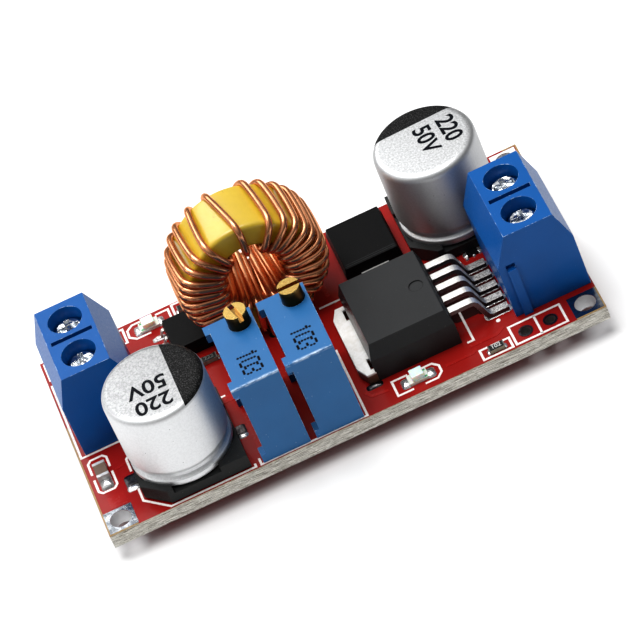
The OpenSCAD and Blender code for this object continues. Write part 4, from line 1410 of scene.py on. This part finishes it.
class DRIVER_OT_small_parts(bpy.types.Operator):
    """Finish the lamps, the chip capacitor and the chip resistors"""

    bl_idname = "driver.small_parts"
    bl_label = "Small parts"

    def execute(self, context):
        for row in ROWS:
            dress(f"{row}_lamp_base", finish("lamp_white"), edge=0.03)
            dress(f"{row}_lamp_lens", finish("lamp_resin"), edge=0.05)
        for node, (body, side, ends, half) in BANDED.items():
            low, high = span(node)
            axis = int(np.argmax((high - low)[:2]))
            made = banded_chip(node + "_finish", middle(node), axis, half, body, side, ends)
            dress(node, made, edge=0.04)
        marks = lamp_marks("front", 1) + lamp_marks("rear", -1)
        piece("lamp_marks", marks, finish("green_ink"), crease=0)
        for name, (value, ink) in FIGURED.items():
            place = middle(f"{name}_resistor")
            place[2] = span(f"{name}_resistor")[1][2] + INK_GAP
            axes = (place, (1, 0, 0), (0, 1, 0))
            lettering(f"{name}_resistor_figures", value, CHIP_FIGURE, axes, finish(ink))
        return {"FINISHED"}


# Solder: rows of feet are places across the board, a pool has a low corner, a high corner and a height

REGULATOR_MIDDLE, REGULATOR_PITCH = -4.15, 1.7
REGULATOR_FEET = REGULATOR_MIDDLE + REGULATOR_PITCH * np.arange(-2, 3)
REGULATOR_REACH = (14.95, 17.65)
DIODE_MIDDLE, DIODE_SPREAD = 7.4, 3.55
DIODE_FEET = (DIODE_MIDDLE - DIODE_SPREAD, DIODE_MIDDLE + DIODE_SPREAD)
DIODE_REACH = (6.1, 9.6)
AMPLIFIER_MIDDLE, AMPLIFIER_PITCH = 7.2, 1.27
AMPLIFIER_FEET = AMPLIFIER_MIDDLE + AMPLIFIER_PITCH * (np.arange(4) - 1.5)
AMPLIFIER_SIDES = (-13.75, -8.45)
AMPLIFIER_REACH = np.array([-0.75, 0.6])
FRONT_CAN_POOLS = (((-22.3, -8.75), (-20.9, -7.95), 0.16), ((-10.85, -8.5), (-9.75, -7.85), 0.16))
REAR_CAN_POOLS = (((15.85, 1.1), (17.8, 1.9), 0.2), ((15.85, 11.9), (17.8, 12.9), 0.2))
REAR_CAN_BEADS = ((16.1, 0.85), (16.85, 0.95), (17.5, 1.05))
BEAD_REACH = np.array([-0.2, 0.2])
CHIP_CAPACITOR_POOLS = (((-24.5, -4.4), (-23.2, -3.55), 0.5), ((-24.5, -7.1), (-23.2, -5.6), 0.5))
# How far the solder runs out past a lamp's ends
LAMP_SPREAD = {"front": 0.75, "rear": 0.6}
# Pools painted dark as shade, round the front can's leads and at the heat tab's corner
SHADED_POOLS = (
    ((-22.25, -8.2), (-20.9, -6.5), 0.12),
    ((-10.85, -8.1), (-9.75, -6.65), 0.1),
    ((2.0, -9.95), (3.7, -9.2), 0.2),
)
# Sheets of painted shade round the regulator's feet: low corner, high corner, rise and corner radius
PAINTED_SHADE_FILMS = (
    ((14.6, -6.9), (17.6, -0.6), 0.012, 0.4),
    ((12.1, -6.6), (15.0, 2.0), 0.018, 0.6),
)


def foot_pool(x, y, half, height, radius=0.3):
    """Pool under a foot: between two places along the board, and half its width to both sides of y."""
    return pool((x[0], y - half), (x[1], y + half), height, radius)


def end_pools(node, out, under, side, height):
    """Pools at both ends of a chip: out past each end, under it, and past its sides."""
    low, high = span(node)
    return [
        pool((low[0] - out, low[1] - side), (low[0] + under, high[1] + side), height),
        pool((high[0] - under, low[1] - side), (high[0] + out, high[1] + side), height),
    ]


class DRIVER_OT_solder(bpy.types.Operator):
    """Add the solder round every lead, foot and chip end, and finish the joints below the board"""

    bl_idname = "driver.solder"
    bl_label = "Solder"

    def execute(self, context):
        dress("solder_joints", finish("solder_tin"))
        pools = [foot_pool(REGULATOR_REACH, y, half=0.5, height=0.07) for y in REGULATOR_FEET]
        pools += [pool(*place) for place in (*FRONT_CAN_POOLS, *REAR_CAN_POOLS, *CHIP_CAPACITOR_POOLS)]
        for x, y in REAR_CAN_BEADS:
            pools.append(foot_pool(x + BEAD_REACH, y, half=0.17, height=0.2, radius=0.15))
        pools += [foot_pool(DIODE_REACH, y, half=0.75, height=0.2) for y in DIODE_FEET]
        for x in AMPLIFIER_SIDES:
            reach = x + AMPLIFIER_REACH
            pools += [foot_pool(reach, y, half=0.33, height=0.14, radius=0.2) for y in AMPLIFIER_FEET]
        for row, spread in LAMP_SPREAD.items():
            pools += end_pools(f"{row}_lamp_base", out=spread, under=0.25, side=0.05, height=0.3)
        for name in RESISTORS:
            pools += end_pools(f"{name}_resistor", out=0.22, under=0.2, side=-0.05, height=0.16)
        piece("surface_solder", pools, finish("solder_tin"), crease=50)
        # Pools painted dark as shade round the front can's leads and at the tab's corner.
        dull = [pool(*place) for place in SHADED_POOLS]
        piece("shaded_solder", dull, finish("shade_darkened_tin"), crease=50)
        # Dark sheets under and beside the regulator's leads, painted shade.
        film = [
            plate(low, high, BOARD_TOP - SEAT, BOARD_TOP + rise, radius)
            for low, high, rise, radius in PAINTED_SHADE_FILMS
        ]
        piece("painted_shade_film", film, finish("painted_shade_film"), crease=0)
        return {"FINISHED"}


# Stage: angles in degrees, lengths in millimetres

FLOOR_REACH = 1500
FLOOR_LINES = 9
FLOOR_HEIGHT = -0.02
# Direction of the brightest sky, and the light at two limits of closeness to it
SKY_TOP = (-0.25, 0.15, 0.96)
SKY_RANGE = (0.2, 0.95)
SKY_LIGHT = (0.05, 0.75)
CAMERA_ANGLES = (-1.289, 42.632, -24.011)
CAMERA_TARGET = (0.915, 1.877, BOARD_TOP)
CAMERA_DISTANCE = 432.457
PHOTO_WIDTH_PX = 640.0
FOCAL_PX = 4527.694
SENSOR = 36.0
CLIP_METRES = (0.01, 20.0)


def turned_frame(azimuth, elevation, roll):
    """Right, up and back directions of a camera from its three angles in degrees."""
    a, e, r = np.radians([azimuth, elevation, roll])
    back = np.array([np.sin(a) * np.cos(e), -np.cos(a) * np.cos(e), np.sin(e)])
    level = np.array([np.cos(a), np.sin(a), 0])
    up = np.cross(back, level)
    return np.cos(r) * level + np.sin(r) * up, np.cos(r) * up - np.sin(r) * level, back


def stood(name, data, place, right, up, back):
    """Links a light or camera at a place in millimetres, with its right, up and back directions."""
    obj = linked(name, data)
    matrix = np.eye(4)
    matrix[:3, :3] = np.stack([right, up, back], 1)
    matrix[:3, 3] = np.array(place) * MM
    obj.matrix_world = Matrix(matrix.tolist())
    return obj


def soft_box(name, place, aim, size, power):
    """Rectangular studio light at a place in millimetres, facing an aim point."""
    data = bpy.data.lights.new(name, "AREA")
    data.shape = "RECTANGLE"
    data.size, data.size_y = size[0] * MM, size[1] * MM
    data.energy = power
    away = np.array(place, float) - np.array(aim, float)
    away /= np.linalg.norm(away)
    right = np.cross((0, 0, 1), away)
    right /= np.linalg.norm(right)
    return stood(name, data, place, right, np.cross(away, right), away)


def paper_floor():
    """Level grid of points, wide enough to fill the view."""
    reach = np.linspace(-FLOOR_REACH, FLOOR_REACH, FLOOR_LINES)
    x, y = np.meshgrid(reach, reach, indexing="ij")
    points = np.stack([x, y, np.full_like(x, FLOOR_HEIGHT)], -1).reshape(-1, 3) * MM
    mesh = bpy.data.meshes.new("paper_floor")
    mesh.from_pydata(points.tolist(), [], grid_faces(FLOOR_LINES, FLOOR_LINES).tolist())
    mesh.materials.append(finish("floor_paper"))
    return linked("paper_floor", mesh)


def studio_air(strength):
    """White light all round, bright above and weak at the horizon and below."""
    world = bpy.data.worlds.new("studio_air")
    world.use_nodes = True
    w = Wiring(world.node_tree)
    source = w.add("TexCoord", {}).outputs["Generated"]
    lean = w.add("VectorMath", {0: source, 1: SKY_TOP}, operation="DOT_PRODUCT").outputs["Value"]
    background = w.nodes["Background"]
    w.put(background.inputs["Color"], (1.0, 1.0, 1.0))
    w.put(background.inputs["Strength"], w.limits(lean, *SKY_RANGE, *dimmed(SKY_LIGHT, strength)))
    return world


def photo_camera():
    """Camera at the photograph's own place, with its angle of view."""
    data = bpy.data.cameras.new("photo_camera")
    data.sensor_width = SENSOR
    data.sensor_fit = "HORIZONTAL"
    data.lens = SENSOR * FOCAL_PX / PHOTO_WIDTH_PX
    data.clip_start, data.clip_end = CLIP_METRES
    right, up, back = turned_frame(*CAMERA_ANGLES)
    return stood("photo_camera", data, CAMERA_TARGET + CAMERA_DISTANCE * back, right, up, back)


class DRIVER_OT_stage(bpy.types.Operator):
    """Lay the floor, set the lights and place the camera"""

    bl_idname = "driver.stage"
    bl_label = "Stage"

    def execute(self, context):
        scene = context.scene
        stage = looks().stage
        floor = paper_floor()
        scene.world = studio_air(stage.sky)
        soft_box("key_light", (-35, 45, 320), aim=(0, 0, 5), size=(200, 220), power=stage.key)
        soft_box("back_light", (-125, 310, 255), aim=(0, 0, 8), size=(180, 170), power=0.4 * stage.key)
        soft_box("side_light", (-260, 20, 160), aim=(0, 0, 5), size=(60, 160), power=0.06 * stage.key)
        scene.camera = photo_camera()
        scene.view_settings.view_transform = "Standard"
        scene.view_settings.look = "Medium High Contrast"
        return {"FINISHED"}


class DRIVER_PT_panel(bpy.types.Panel):
    """Buttons for every piece, in the order that they are made"""

    bl_idname = "DRIVER_PT_panel"
    bl_label = "Driver module"
    bl_space_type = "VIEW_3D"
    bl_region_type = "UI"
    bl_category = "Driver Module"

    def draw(self, context):
        for operator in OPERATORS:
            self.layout.operator(operator.bl_idname, text=operator.bl_label)


GROUPS = (BoardLooks, BlockLooks, TrimmerLooks, CanLooks, CoilLooks, StageLooks, DriverLooks)
OPERATORS = (
    DRIVER_OT_board, DRIVER_OT_blocks, DRIVER_OT_trimmers, DRIVER_OT_cans, DRIVER_OT_inductor,
    DRIVER_OT_chips, DRIVER_OT_small_parts, DRIVER_OT_solder, DRIVER_OT_stage,
)


def register():
    """Adds the groups, operators and panel, and the module's looks to the scene."""
    for item in (*GROUPS, *OPERATORS, DRIVER_PT_panel):
        bpy.utils.register_class(item)
    bpy.types.Scene.driver_looks = bpy.props.PointerProperty(type=DriverLooks)


def unregister():
    """Takes all of it away again."""
    del bpy.types.Scene.driver_looks
    for item in reversed((*GROUPS, *OPERATORS, DRIVER_PT_panel)):
        bpy.utils.unregister_class(item)


def main():
    """Makes every piece and the stage."""
    register()
    for operator in OPERATORS:
        group, name = operator.bl_idname.split(".")
        getattr(getattr(bpy.ops, group), name)()


if __name__ == "__main__":
    main()
